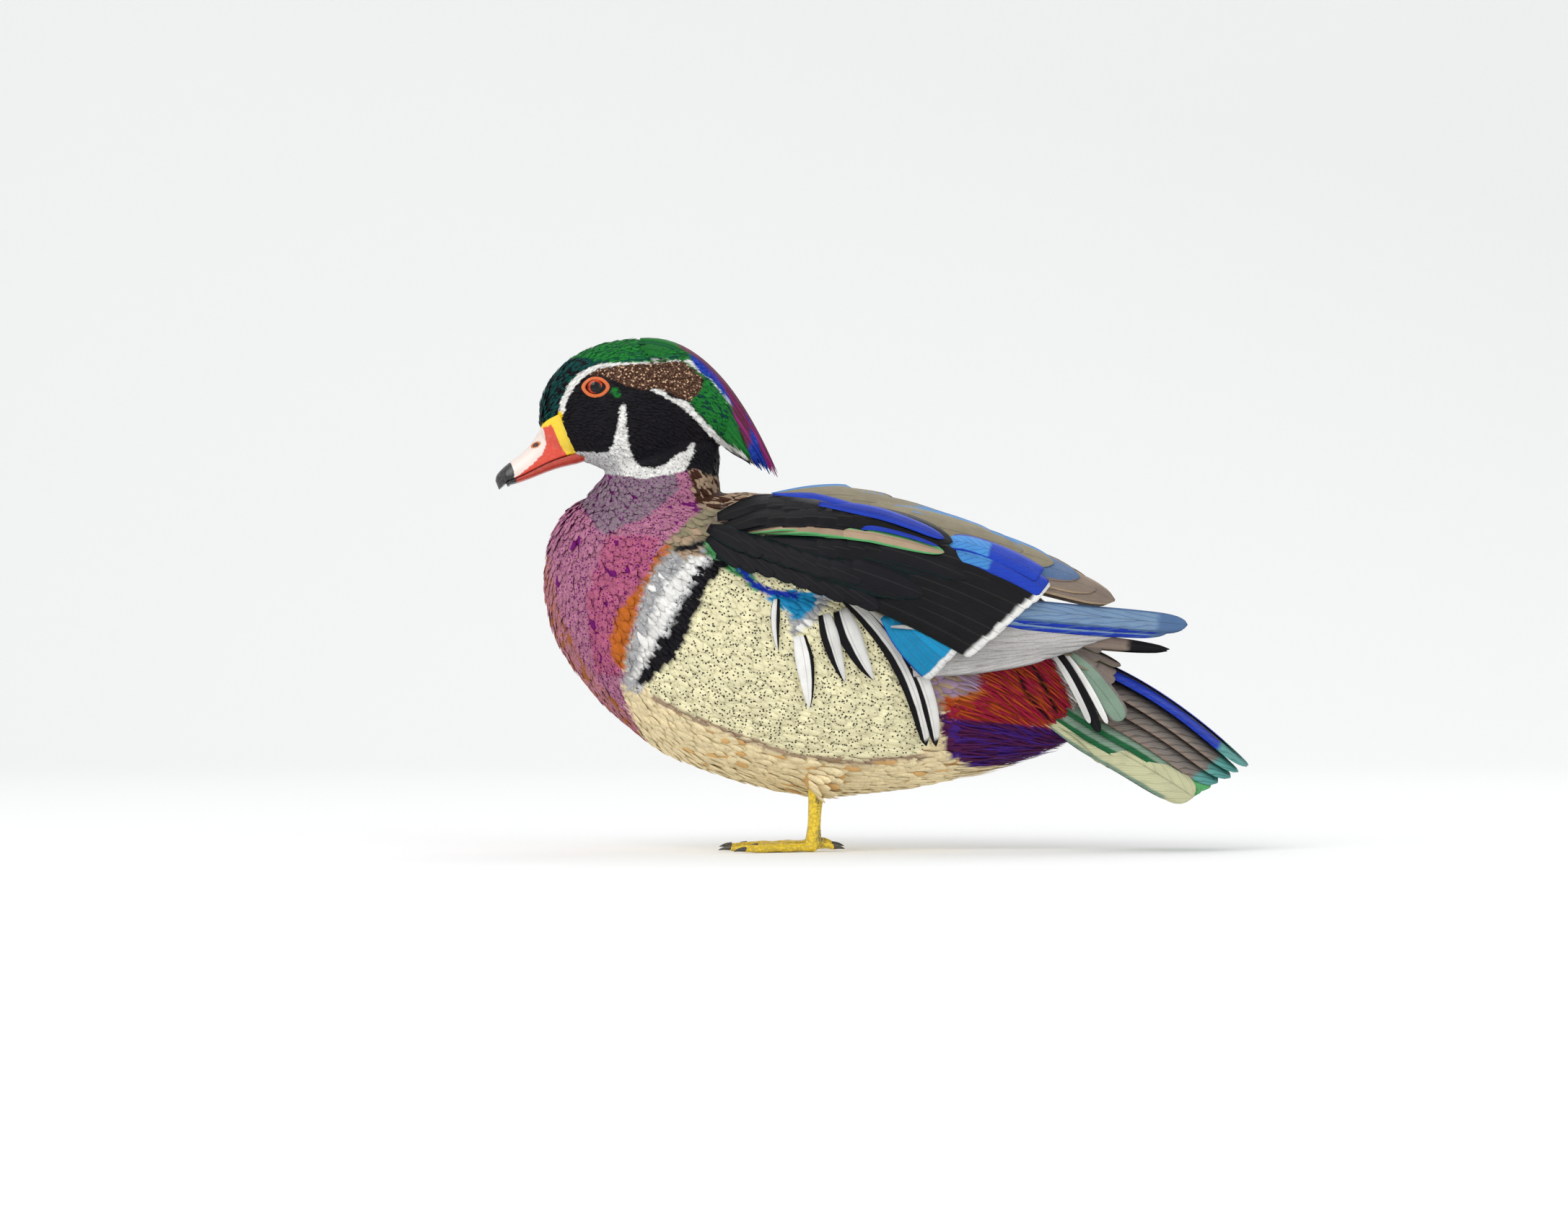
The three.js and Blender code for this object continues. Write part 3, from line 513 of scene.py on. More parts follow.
class Graph:
    """A node tree under construction."""

    def __init__(self, tree: bpy.types.NodeTree) -> None:
        """Keeps the tree. Args: tree, where nodes are added."""
        self.tree = tree

    def node(self, kind: str, settings: dict | None = None, inputs: dict | None = None) -> bpy.types.Node:
        """Adds a node, sets it up, then feeds its inputs.

        Args:
            kind: the node's type.
            settings: its properties.
            inputs: values or sockets by the input's identifier, name or number.

        Returns:
            The node.
        """
        made = self.tree.nodes.new(kind)
        for key, value in (settings or {}).items():
            setattr(made, key, value)
        self.feed(made, inputs or {})
        return made

    @staticmethod
    def find(sockets: bpy.types.bpy_prop_collection, key: Key) -> bpy.types.NodeSocket:
        """Finds a socket.

        Args:
            sockets: a node's inputs or outputs.
            key: its identifier, name or number.

        Returns:
            The socket.
        """
        if isinstance(key, int):
            return sockets[key]
        for one in sockets:
            if one.identifier == key:
                return one
        return next(one for one in sockets if one.name == key and one.enabled)

    def feed(self, node: bpy.types.Node, inputs: dict) -> None:
        """Links or sets inputs.

        Args:
            node: the node.
            inputs: sockets to link or constants to set, by input.
        """
        for key, value in inputs.items():
            socket = self.find(node.inputs, key)
            if isinstance(value, Sock):
                value = value.socket
            if isinstance(value, bpy.types.NodeSocket):
                self.tree.links.new(value, socket)
            else:
                socket.default_value = value

    def out(self, kind: str, key: Key, settings: dict | None = None, inputs: dict | None = None) -> Sock:
        """Adds a node. Args: kind; key, an output; settings; inputs. Returns: that output."""
        return Sock(self, self.find(self.node(kind, settings, inputs).outputs, key))

    def math(self, operation: str, *values: Sock | float) -> Sock:
        """Adds a Math node. Args: operation; values, its inputs. Returns: the result."""
        return self.out("ShaderNodeMath", 0, {"operation": operation}, dict(enumerate(values)))

    def blend(self, share: Sock | float, a: Sock | Colour, b: Sock | Colour) -> Sock:
        """Mixes two colours. Args: share, how much of b; a; b. Returns: the colour."""
        ends = [v if isinstance(v, Sock) else (*v, 1.0) for v in (a, b)]
        values = {"Factor_Float": share, "A_Color": ends[0], "B_Color": ends[1]}
        return self.out("ShaderNodeMix", "Result_Color", {"data_type": "RGBA"}, values)

    def attribute(self, name: str) -> Sock:
        """Reads a named value of the mesh. Args: name. Returns: the vector or colour."""
        return self.out("ShaderNodeAttribute", "Vector", {"attribute_name": name})

    def parts(self, vector: Sock) -> list[Sock]:
        """Splits a vector. Args: vector. Returns: its three numbers."""
        made = self.node("ShaderNodeSeparateXYZ", None, {"Vector": vector})
        return [Sock(self, socket) for socket in made.outputs]

    def vane(self) -> list[Sock]:
        """Reads the map of shares across and along. Returns: its numbers."""
        return self.parts(self.out("ShaderNodeUVMap", "UV", {"uv_map": "vane"}))

    def place(self) -> Sock:
        """Reads where a point is on the piece. Returns: the place."""
        return self.out("ShaderNodeTexCoord", "Object")

    def noise(self, place: Sock, scale: float, detail: float) -> Sock:
        """Adds a cloudy pattern. Args: place; scale, its fineness; detail. Returns: the value."""
        return self.out("ShaderNodeTexNoise", 0, None, {"Vector": place, "Scale": scale, "Detail": detail})

    def cells(self, place: Sock, scale: float) -> Sock:
        """Adds a pattern of cells. Args: place; scale, its fineness. Returns: the distance."""
        return self.out("ShaderNodeTexVoronoi", "Distance", None, {"Vector": place, "Scale": scale})

    def relief(self, strength: float, distance: float, height: Sock) -> Sock:
        """Adds a Bump node. Args: strength; distance, in metres; height. Returns: the normal."""
        values = {"Strength": strength, "Distance": distance, "Height": height}
        return self.out("ShaderNodeBump", "Normal", None, values)


def new_material(name: str) -> tuple[Material, Graph, bpy.types.Node]:
    """Makes an empty material.

    Args:
        name: its name.

    Returns:
        The material, its graph and its shader node.
    """
    made = bpy.data.materials.new(name)
    made.use_nodes = True
    return made, Graph(made.node_tree), made.node_tree.nodes["Principled BSDF"]


@dataclass(frozen=True)
class Plumage:
    """The finish of feathers, from the values that each feather carries."""

    name: str
    bump: float
    barbs: float
    gleam: float
    dot_scale: float = 640.0
    cloud_scale: float = 140.0
    speckle_scale: float = 1400.0

    def material(self) -> Material:
        """Makes the material. Returns: the material."""
        made, g, shader = new_material(self.name)
        place = g.place()
        across, along, _ = g.vane()
        bias, bars, barred = g.parts(g.attribute("build"))
        middle = (across * 2 - 1).math("ABSOLUTE")
        outer = (across * 2 - 1 + bias).math("ABSOLUTE")
        fleck_share, edge_from, tip_from = g.parts(g.attribute("zones"))
        metal, rough, fineness = g.parts(g.attribute("gloss"))
        dots = g.cells(place, self.dot_scale)
        cloud = g.noise(place, self.cloud_scale, 3)
        wide = g.noise(place, self.speckle_scale, 1).step(0.52, 0.6)
        speck = (1 - dots.step(0.23, 0.36) + wide * fineness).math("MINIMUM", 1.0) * fleck_share
        ragged = cloud * 0.12 - 0.06
        rim = (outer + ragged).step(edge_from - 0.1, edge_from + 0.02)
        end = (along + ragged * 0.3).step(tip_from - 0.02, tip_from + 0.01)
        stripe = (along * bars + middle * 2.0 + cloud).wave().step(0.55, 0.9)
        barb = (along * 34 + middle * 7).wave()
        shaft = 1 - middle.step(0.02, 0.07)
        colour = g.attribute("tint")
        for share, over in (
            (rim, g.attribute("edge")),
            (end, g.attribute("tip")),
            (speck, g.attribute("fleck")),
            (stripe * barred, g.attribute("fleck")),
            ((barb * 0.5 + 0.5) * self.barbs, (0.01, 0.01, 0.01)),
            (cloud.step(0.3, 0.8) * 0.14, (0.02, 0.015, 0.02)),
            (shaft * 0.3, (0.05, 0.045, 0.04)),
        ):
            colour = g.blend(share, colour, over)
        height = barb * 0.5 + shaft * 1.5 + cloud
        looks = {
            "Base Color": colour,
            "Metallic": metal,
            "Roughness": rough + cloud * 0.16 - 0.08,
            "Specular IOR Level": self.gleam,
            "Normal": g.relief(self.bump, 0.00025, height),
        }
        g.feed(shader, looks)
        return made


@dataclass(frozen=True)
class Hide:
    """The finish of bare parts, whose colour the mesh carries."""

    name: str
    roughness: float
    coat: float
    bump: float
    grain: float
    scale: float
    scaly: bool = False

    def material(self) -> Material:
        """Makes the material. Returns: the material."""
        made, g, shader = new_material(self.name)
        place = g.place()
        grain = g.cells(place, self.scale) if self.scaly else g.noise(place, self.scale, 0)
        pores = g.noise(place, self.scale * 3.1, 3)
        colour = g.blend(grain.step(0.25, 0.7) * self.grain, g.attribute("tint"), (0.03, 0.025, 0.015))
        colour = g.blend(pores.step(0.4, 0.75) * 0.05, colour, (1.0, 0.95, 0.85))
        height = pores * 0.4 - grain.step(0.3, 0.75) * (1.2 if self.scaly else 0.4)
        looks = {
            "Base Color": colour,
            "Roughness": pores * 0.2 + (self.roughness - 0.1),
            "Coat Weight": self.coat,
            "Coat Roughness": 0.25,
            "Subsurface Weight": 0.06,
            "Subsurface Scale": 0.001,
            "Normal": g.relief(self.bump, 0.0003, height),
        }
        g.feed(shader, looks)
        return made


@dataclass(frozen=True)
class EyeGlass:
    """The wet finish of the eye: the edges of pupil, iris and white as shares of the radius."""

    pupil: tuple[float, float] = (0.42, 0.46)
    rim: tuple[float, float] = (0.58, 0.66)
    iris: tuple[float, float] = (0.78, 0.84)

    def material(self) -> Material:
        """Makes the material. Returns: the material."""
        made, g, shader = new_material("eye_wet")
        out = g.vane()[0]
        rays = g.noise(g.place(), 900.0, 3).step(0.3, 0.7)
        iris = g.blend(rays, (0.3, 0.012, 0.005), (0.55, 0.06, 0.01))
        iris = g.blend(out.step(*self.rim), iris, (0.06, 0.004, 0.003))
        colour = g.blend(out.step(*self.pupil), (0.0006, 0.0006, 0.001), iris)
        looks = {
            "Base Color": g.blend(out.step(*self.iris), colour, (0.004, 0.002, 0.002)),
            "Roughness": 0.1,
            "Specular IOR Level": 0.1,
            "Coat Weight": 0.5,
            "Coat Roughness": 0.02,
        }
        g.feed(shader, looks)
        return made


# Markings


class Hue(Enum):
    """Colours of the plumage, as linear light."""

    INK_GREEN = (0.002, 0.016, 0.014)
    BLACK = (0.003, 0.003, 0.004)
    SOFT_BLACK = (0.005, 0.0045, 0.007)
    WHITE = (0.86, 0.85, 0.82)
    THROAT = (0.62, 0.62, 0.62)
    GREY = (0.36, 0.36, 0.37)
    GREEN = (0.014, 0.205, 0.03)
    TEAL = (0.003, 0.055, 0.05)
    DEEP_GREEN = (0.008, 0.11, 0.035)
    MEADOW = (0.11, 0.42, 0.15)
    BROWN = (0.055, 0.019, 0.01)
    CREAM_DOT = (0.78, 0.52, 0.33)
    PLUM = (0.15, 0.028, 0.065)
    ROYAL = (0.016, 0.055, 0.48)
    COBALT = (0.01, 0.04, 0.42)
    SKY = (0.07, 0.29, 0.66)
    STEEL = (0.21, 0.33, 0.5)
    SLATE_BLUE = (0.09, 0.17, 0.33)
    MAGENTA = (0.36, 0.03, 0.22)
    MAUVE = (0.47, 0.19, 0.28)
    ROSE = (0.48, 0.125, 0.21)
    PURPLE = (0.15, 0.003, 0.13)
    ASH_PURPLE = (0.26, 0.19, 0.23)
    ORANGE = (0.52, 0.13, 0.015)
    RUST = (0.34, 0.11, 0.025)
    HONEY = (0.72, 0.44, 0.17)
    SEA = (0.11, 0.35, 0.32)
    TAN = (0.42, 0.3, 0.2)
    OLIVE = (0.26, 0.225, 0.14)
    CREAM = (0.9, 0.84, 0.54)
    BELLY = (0.9, 0.77, 0.48)
    TURQUOISE = (0.01, 0.27, 0.52)
    LAVENDER = (0.38, 0.26, 0.4)
    CRIMSON = (0.33, 0.008, 0.04)
    EMBER = (0.42, 0.06, 0.01)
    WINE = (0.08, 0.008, 0.06)
    VIOLET = (0.06, 0.012, 0.2)
    TAIL_GREEN = (0.21, 0.31, 0.23)
    TAIL_GREY = (0.2, 0.175, 0.155)
    BEIGE = (0.56, 0.56, 0.34)
    PALE_GREY = (0.56, 0.55, 0.54)
    BROWN_GREY = (0.25, 0.19, 0.155)
    YELLOW = (0.86, 0.6, 0.008)
    RED = (0.68, 0.05, 0.018)


@dataclass(frozen=True)
class Mark:
    """A marking: a filled shape, or a line when it has a width."""

    hue: Hue
    shape: Points
    width: float = 0.0
    fleck: Hue = Hue.BLACK
    amount: float = 0.0
    fineness: float = 0.0
    metal: float = 0.0
    rough: float = 0.62
    streaks: float = 0.0

    def covers(self, x: Array, z: Array) -> Array:
        """Tells which places the marking covers.

        Args:
            x: places along the bird.
            z: heights.

        Returns:
            True where it covers.
        """
        corners = np.array(self.shape, float)
        if self.width:
            near = np.full(x.shape, 1e9)
            for a, b in zip(corners[:-1], corners[1:]):
                run = b - a
                t = np.clip(((x - a[0]) * run[0] + (z - a[1]) * run[1]) / (run @ run), 0, 1)
                near = np.minimum(near, np.hypot(x - a[0] - t * run[0], z - a[1] - t * run[1]))
            return near < self.width / 2
        inside = np.zeros(x.shape, bool)
        for a, b in zip(corners, np.roll(corners, -1, 0)):
            if a[1] != b[1]:
                crossing = a[0] + (z - a[1]) * (b[0] - a[0]) / (b[1] - a[1])
                inside ^= ((a[1] > z) != (b[1] > z)) & (x < crossing)
        return inside


YELLOW_LINE = Mark(Hue.YELLOW, [(-136, 204.5), (-132.6, 207.4), (-128, 208.6), (-126, 210.1),
    (-125.2, 213.6), (-123.6, 212.6), (-123.4, 202), (-121, 196), (-116.6, 191.5), (-120, 188.5),
    (-125.2, 196.6), (-127.8, 203.6), (-129.2, 206), (-133, 204.9)], rough=0.5)  # fmt: skip
HEAD_MARKS = (
    Mark(Hue.SOFT_BLACK, [(-170, 160), (0, 160), (0, 270), (-170, 270)], metal=0.1, rough=0.45),
    Mark(Hue.GREEN, [(-140, 204), (-126.5, 206), (-124.5, 213), (-123, 220), (-119, 228), (-113, 233.5),
        (-105, 236.5), (-95, 237.5), (-80, 238), (-62, 239.5), (-52, 231.5), (-40, 221.5), (-31, 203),
        (-26, 189), (-18, 176), (0, 176), (-10, 230), (-60, 270), (-150, 270), (-150, 204)], metal=0.45,
        rough=0.38, fleck=Hue.DEEP_GREEN, amount=0.6, fineness=0.4, streaks=0.25),
    Mark(Hue.TEAL, [(-150, 200), (-126.5, 206), (-124.8, 213.5), (-123, 222), (-119.5, 228.5),
        (-115.5, 232.3), (-109, 236.3), (-101, 238.2), (-112, 241.5), (-122, 241), (-150, 238)], metal=0.3,
        rough=0.42, fleck=Hue.SOFT_BLACK, amount=0.3, streaks=0.3),
    Mark(Hue.TEAL, [(-108, 238.6), (-95, 239.6), (-80, 240), (-64, 241.4)], 1.8, metal=0.4, fleck=Hue.GREEN,
        amount=0.4, streaks=0.3),
    Mark(Hue.PLUM, [(-66, 270), (-65, 248), (-58, 243.5), (-52, 238.5), (-46, 232.5), (-40.5, 226),
        (-37.5, 219), (-34, 209), (-30, 201), (-26, 190.5), (-23, 180), (-14, 165), (0, 165), (-5, 210),
        (-30, 270)], metal=0.3, rough=0.42, fleck=Hue.MAGENTA, amount=0.25, fineness=0.4, streaks=0.12),
    Mark(Hue.ROYAL, [(-57, 241.3), (-53, 240.6), (-49.5, 236.6), (-45.3, 232.8), (-42.3, 229.5),
        (-36.8, 219.5), (-38.5, 218.8), (-45.1, 228.8), (-52.2, 233.9), (-55.2, 236.9)], metal=0.45,
        rough=0.36, fleck=Hue.SKY, amount=0.3),
    Mark(Hue.ROYAL, [(-27.2, 209.5), (-23.3, 199), (-20.4, 191.9), (-16.4, 183.8), (-13, 176), (-17, 176),
        (-25.6, 188.5), (-26.6, 192), (-25.6, 199)], metal=0.45, rough=0.36, fleck=Hue.SKY, amount=0.3),
    Mark(Hue.MAGENTA, [(-24, 203), (-19.3, 192.5), (-15.2, 183), (-9.5, 174)], 1.7, metal=0.3, rough=0.4),
    Mark(Hue.GREEN, [(-49.6, 231.4), (-46.6, 229.3), (-40, 221.2), (-35, 212.1), (-30.9, 202),
        (-26.4, 188.9), (-38, 197), (-48.1, 207.1), (-57.2, 217.7), (-51.7, 224.3)], metal=0.4, rough=0.38,
        fleck=Hue.TEAL, amount=0.5, fineness=0.3, streaks=0.15),
    Mark(Hue.BROWN, [(-112, 231.5), (-108, 234), (-104.8, 235.6), (-95.7, 236.9), (-78, 238),
        (-64.3, 239.4), (-60.5, 238.6), (-56.2, 235.9), (-51.1, 231.4), (-51.1, 226.3), (-54.2, 220.7),
        (-57.2, 218), (-64.3, 220.7), (-70.4, 223.8), (-75.4, 224.8), (-81.5, 223.8), (-90.6, 225.8),
        (-96.7, 229.3), (-104.8, 232)], fleck=Hue.CREAM_DOT, amount=0.85, fineness=0.2, rough=0.6),
    Mark(Hue.WHITE, [(-60.5, 239.4), (-57.3, 240.6), (-55, 236.8), (-52, 233.6), (-45, 228.9),
        (-38.3, 218.9), (-36.6, 216.5), (-37.6, 216.8), (-40.4, 221.4), (-46.6, 229.6), (-50, 231.8),
        (-55.4, 235.8)]),
    Mark(Hue.WHITE, [(-125, 212.5), (-124.9, 217), (-123, 222), (-119.5, 228.3), (-115.5, 232.3),
        (-110.5, 235.4), (-104.8, 237.7), (-95.7, 238.4), (-86, 238.4), (-74, 238.8), (-62, 240),
        (-61, 239.4), (-74, 238.2), (-86, 237.4), (-95.7, 236.6), (-104.8, 235.4), (-110, 232.6),
        (-114, 229.3), (-117.6, 225), (-120.4, 220), (-122, 215.5), (-122.8, 212)]),
    Mark(Hue.WHITE, [(-77.4, 224.3), (-72.4, 224.3), (-66.8, 219.9), (-58.2, 217.9), (-54.2, 212.3),
        (-47.1, 205.3), (-39, 197.2), (-27.9, 189.6), (-18, 180.5), (-19.8, 179.6), (-25.9, 185.8),
        (-30.9, 188.6), (-39, 192.6), (-45.1, 198.8), (-51.1, 204.9), (-56.2, 210.4), (-62.3, 215.5),
        (-70.4, 220.2), (-75.4, 222.6)]),
    Mark(Hue.SOFT_BLACK, [(-38, 192.6), (-30.9, 188.8), (-25.5, 185.6), (-18, 179.6), (-12, 174.4)], 1.8,
        rough=0.5),
    Mark(Hue.DEEP_GREEN, [(-96.2, 223.7), (-95, 221.2)], 3.5, metal=0.4, fleck=Hue.GREEN, amount=0.6,
        streaks=0.3),
    Mark(Hue.WHITE, [(-116.9, 192.4), (-110.8, 191.9), (-104.8, 191.4), (-99.7, 192.1), (-96.7, 196),
        (-95.1, 203), (-94.1, 209.1), (-93.4, 215.2), (-91.8, 217), (-90.1, 214.7), (-90.1, 205.1),
        (-89.1, 196), (-86, 187.3), (-82.5, 184), (-74.4, 183.5), (-68.3, 186.5), (-63.3, 190.8),
        (-59.4, 192), (-57.4, 196), (-55.9, 197), (-54.9, 195), (-56.4, 188), (-60.2, 181.8),
        (-67.3, 178.3), (-76.4, 176.2), (-86.6, 176), (-98.7, 179.5), (-113.9, 184)], fleck=Hue.SOFT_BLACK,
        amount=0.5, fineness=0.03),
    Mark(Hue.THROAT, [(-126, 188), (-117, 192.4), (-110.8, 191.9), (-104.8, 191.4), (-99.7, 192.1),
        (-96, 188), (-92, 182), (-93, 172), (-120, 175)], fleck=Hue.SOFT_BLACK, amount=0.55, fineness=0.04),
    Mark(Hue.RUST, [(-119, 190.9), (-112.8, 189.2)], 2.0, rough=0.5),
    YELLOW_LINE,
)  # fmt: skip

BODY_MARKS = (
    Mark(Hue.BELLY, [(-200, 0), (250, 0), (250, 90), (-200, 90)], fleck=Hue.HONEY, amount=0.4, fineness=0.5,
        rough=0.7, streaks=0.06),
    Mark(Hue.OLIVE, [(-200, 90), (250, 90), (250, 200), (-200, 200)], fleck=Hue.BROWN_GREY, amount=0.5,
        metal=0.05, fineness=0.3, streaks=0.3),
    Mark(Hue.SKY, [(30, 162), (66, 150), (86, 144), (110, 134)], 2.2, metal=0.2),
    Mark(Hue.MAUVE, [(-140, 184), (-56, 184), (-54.4, 163.2), (-55, 160), (-65.4, 148.3), (-75.8, 136.6),
        (-79, 126.2), (-84.9, 108), (-89.4, 89.9), (-90.7, 75.6), (-88.8, 69.1), (-82.3, 54.8), (-76, 42),
        (-90, 30), (-150, 50)], fleck=Hue.PURPLE, amount=1.0, fineness=0.4, rough=0.6, streaks=0.03),
    Mark(Hue.ROSE, [(-98, 150), (-72, 150), (-80, 128), (-92, 84), (-104, 84), (-108, 120)],
        fleck=Hue.PURPLE, amount=1.0, fineness=0.45, rough=0.6, streaks=0.06),
    Mark(Hue.ASH_PURPLE, [(-113, 182), (-66, 182), (-64, 172), (-78, 160), (-100, 150), (-112, 166)],
        fleck=Hue.PURPLE, amount=0.9, fineness=0.3, rough=0.6, streaks=0.02),
    Mark(Hue.MAUVE, [(-140, 146), (-126, 140), (-122, 118), (-113, 96), (-103, 82), (-93, 70), (-85, 61),
        (-80, 52), (-84, 30), (-150, 50)], fleck=Hue.RUST, amount=1.0, fineness=0.9, rough=0.65,
        streaks=0.16),
    Mark(Hue.ORANGE, [(-79, 127), (-84.6, 124.6), (-92.5, 114), (-96.5, 101), (-95.5, 91), (-90.5, 85),
        (-88.6, 92), (-86.2, 105.4), (-82.9, 115.8)], fleck=Hue.RUST, amount=0.6, fineness=0.4),
    Mark(Hue.ORANGE, [(-83, 122), (-76, 135), (-67.5, 147.5)], 2.6, fleck=Hue.RUST, amount=0.8,
        fineness=0.4, streaks=0.3),
    Mark(Hue.SOFT_BLACK, [(-66, 205), (-61, 183.5), (-50, 179.5), (-43, 177.6), (-30, 176), (-30, 205)],
        rough=0.45),
    Mark(Hue.TAN, [(-61, 183.3), (-50, 179.3), (-43, 177.4), (-30, 176), (-26, 168), (-50, 162),
        (-56, 166)], fleck=Hue.BROWN, amount=0.5, fineness=0.3, streaks=0.3),
    Mark(Hue.OLIVE, [(-54.4, 162.5), (-70.6, 146), (-66, 144), (-50, 150)], fleck=Hue.TAN, amount=0.3,
        streaks=0.4),
    Mark(Hue.TAN, [(-70, 143), (-66, 143.5), (-50, 145), (-48, 140), (-58, 139.2), (-68, 138)],
        fleck=Hue.GREY, streaks=0.3),
    Mark(Hue.GREY, [(-66, 142), (-70, 141), (-78.4, 128.8), (-83.6, 113.2), (-87.5, 97.6), (-90.1, 82.1),
        (-88.8, 75.6), (-84, 80), (-74, 106), (-60, 138)], fleck=Hue.WHITE, amount=0.4, fineness=0.3,
        streaks=0.06),
    Mark(Hue.WHITE, [(-57.6, 140.5), (-68, 130.1), (-74.5, 118.4), (-78.4, 105.4), (-82.3, 92.5), (-86, 82),
        (-82, 82), (-75.8, 95), (-68, 109.3), (-62, 124), (-48, 141)]),
    Mark(Hue.THROAT, [(-49, 141.5), (-55.6, 133), (-63, 122.5), (-69, 110.3), (-75.5, 98), (-81.6, 85.5),
        (-86, 77), (-84, 74), (-76, 84), (-62, 104), (-46, 138)], fleck=Hue.SOFT_BLACK, amount=0.9,
        fineness=0.5, streaks=0.2),
    Mark(Hue.SOFT_BLACK, [(-41, 145), (-49.9, 136.3), (-57.6, 125.9), (-64.1, 114), (-69.4, 103),
        (-78.8, 90), (-84, 80), (-79, 79.5), (-68, 90.2), (-62, 97.6), (-57.6, 109.3), (-51.4, 123.6),
        (-43.7, 133.4), (-34, 139)], rough=0.55),
    Mark(Hue.SOFT_BLACK, [(-64.5, 143.2), (-57, 144.6), (-48, 148)], 2.6, rough=0.5),
    Mark(Hue.MEADOW, [(-52, 146.5), (-43.4, 145), (-44, 139), (-51.1, 140.6)], fleck=Hue.GREEN, amount=0.3),
    Mark(Hue.CREAM, [(-38, 136.5), (-43.7, 133.4), (-51.4, 123.6), (-57.6, 109.3), (-62, 97.6), (-68, 90.2),
        (-79, 79.5), (-77, 73), (-49.9, 60), (-10.9, 45.7), (21.5, 42.5), (46, 44), (54, 50), (57, 62),
        (54, 78), (40, 94), (30, 112), (10, 126), (-20, 130)], fleck=Hue.SOFT_BLACK, amount=0.95,
        fineness=0.04, rough=0.7),
    # Painted shade: a tan line along the flank's lower edge, for the shadow that the flank casts on the
    # belly.
    Mark(Hue.TAN, [(-76, 73), (-49.9, 60.5), (-10.9, 46.2), (21.5, 42.5), (52, 45)], 2.4, fleck=Hue.BROWN,
        amount=0.3),
    Mark(Hue.MEADOW, [(-38, 134), (-31.7, 132), (-28, 126)], 5.0, fleck=Hue.GREEN, amount=0.3),
    Mark(Hue.GREY, [(-14.8, 121), (-10.3, 101.5), (-6.4, 104.2), (3.4, 112.5), (12, 124), (0, 124)],
        fleck=Hue.WHITE, streaks=0.2),
    Mark(Hue.TURQUOISE, [(-28, 126), (-10, 124), (4, 124), (-3, 113), (-9.6, 110), (-16, 117), (-22, 121)],
        fleck=Hue.SKY, amount=0.4, metal=0.2, fineness=0.2),
    Mark(Hue.COBALT, [(-36, 135.5), (-28.5, 127.5), (-21, 123.4), (-8, 121.5)], 3.0, metal=0.2),
    Mark(Hue.LAVENDER, [(54, 96), (82, 92), (78.6, 81.7), (76, 73.7), (62.8, 71.1), (58, 64), (54, 78)],
        fleck=Hue.TAN, amount=0.6, fineness=0.3, streaks=0.35),
    Mark(Hue.WINE, [(58, 66), (80, 62.5), (100, 60), (118.2, 58), (130, 47), (118, 44), (97.1, 41),
        (74.7, 40), (63, 47)], fleck=Hue.VIOLET, amount=0.3, fineness=0.3, metal=0.1, rough=0.5,
        streaks=0.4),
    Mark(Hue.CRIMSON, [(78.6, 81.7), (78, 96), (116, 98), (119.2, 85.6), (124.5, 73.7), (129, 60),
        (120.8, 60), (110.3, 59), (81.3, 61.9), (62.8, 63.2), (62.1, 71.1), (76, 73.7)], fleck=Hue.EMBER,
        amount=0.3, fineness=0.4, metal=0.05, rough=0.5, streaks=0.35),
    Mark(Hue.BLACK, [(96, 86), (102, 74), (111, 63)], 1.4),
    Mark(Hue.BLACK, [(104, 88), (111, 76), (116, 65)], 1.6),
    Mark(Hue.ORANGE, [(62, 71.5), (72, 73), (80, 76)], 3.4, fleck=Hue.EMBER, streaks=0.4),
    Mark(Hue.WHITE, [(112, 97), (119.5, 82.5), (125, 68), (126, 62)], 3.0),
    Mark(Hue.BLACK, [(115, 100), (121, 92), (127.4, 76.4), (137, 57), (131.4, 57), (126.3, 70), (121.4, 82),
        (113, 96)]),
    Mark(Hue.WHITE, [(123, 94), (129, 79), (134, 66)], 2.4),
    Mark(Hue.TAIL_GREEN, [(124, 110), (150, 110), (150, 50), (138, 50), (131, 76), (124.5, 94)],
        fleck=Hue.BLACK, amount=0.3, fineness=0.3),
)  # fmt: skip

PICTURE_HEAD = 0.92  # the head's size over the drawn one, about a point in the neck
HEAD_PIVOT = (-79.0, 169.0)
LOT = 997.0  # makes a number that looks random from a feather's brightness
NO_RIM = 3.0  # where a feather's edge or tip starts when it has none: beyond its share of 1
PATCH = 0.003  # the share of the flat map's width that one feather takes


def is_head(p: Array) -> Array:
    """Tells which places are on the head or crest. Args: p. Returns: True there."""
    edge = np.interp(p[:, 0], (-130, -112, -100, -80, -60, -48, -44), (188, 184, 180, 177, 181, 187, 172))
    return (p[:, 2] > edge) & (p[:, 0] < -4) & ((p[:, 0] < -42) | (p[:, 2] > 174.5))


def drawn(x: Array, z: Array) -> list[Array]:
    """Finds where places of the head are in the drawing. Args: x; z. Returns: the drawn x and z."""
    return [(v - middle) / PICTURE_HEAD + middle for v, middle in zip((x, z), HEAD_PIVOT)]


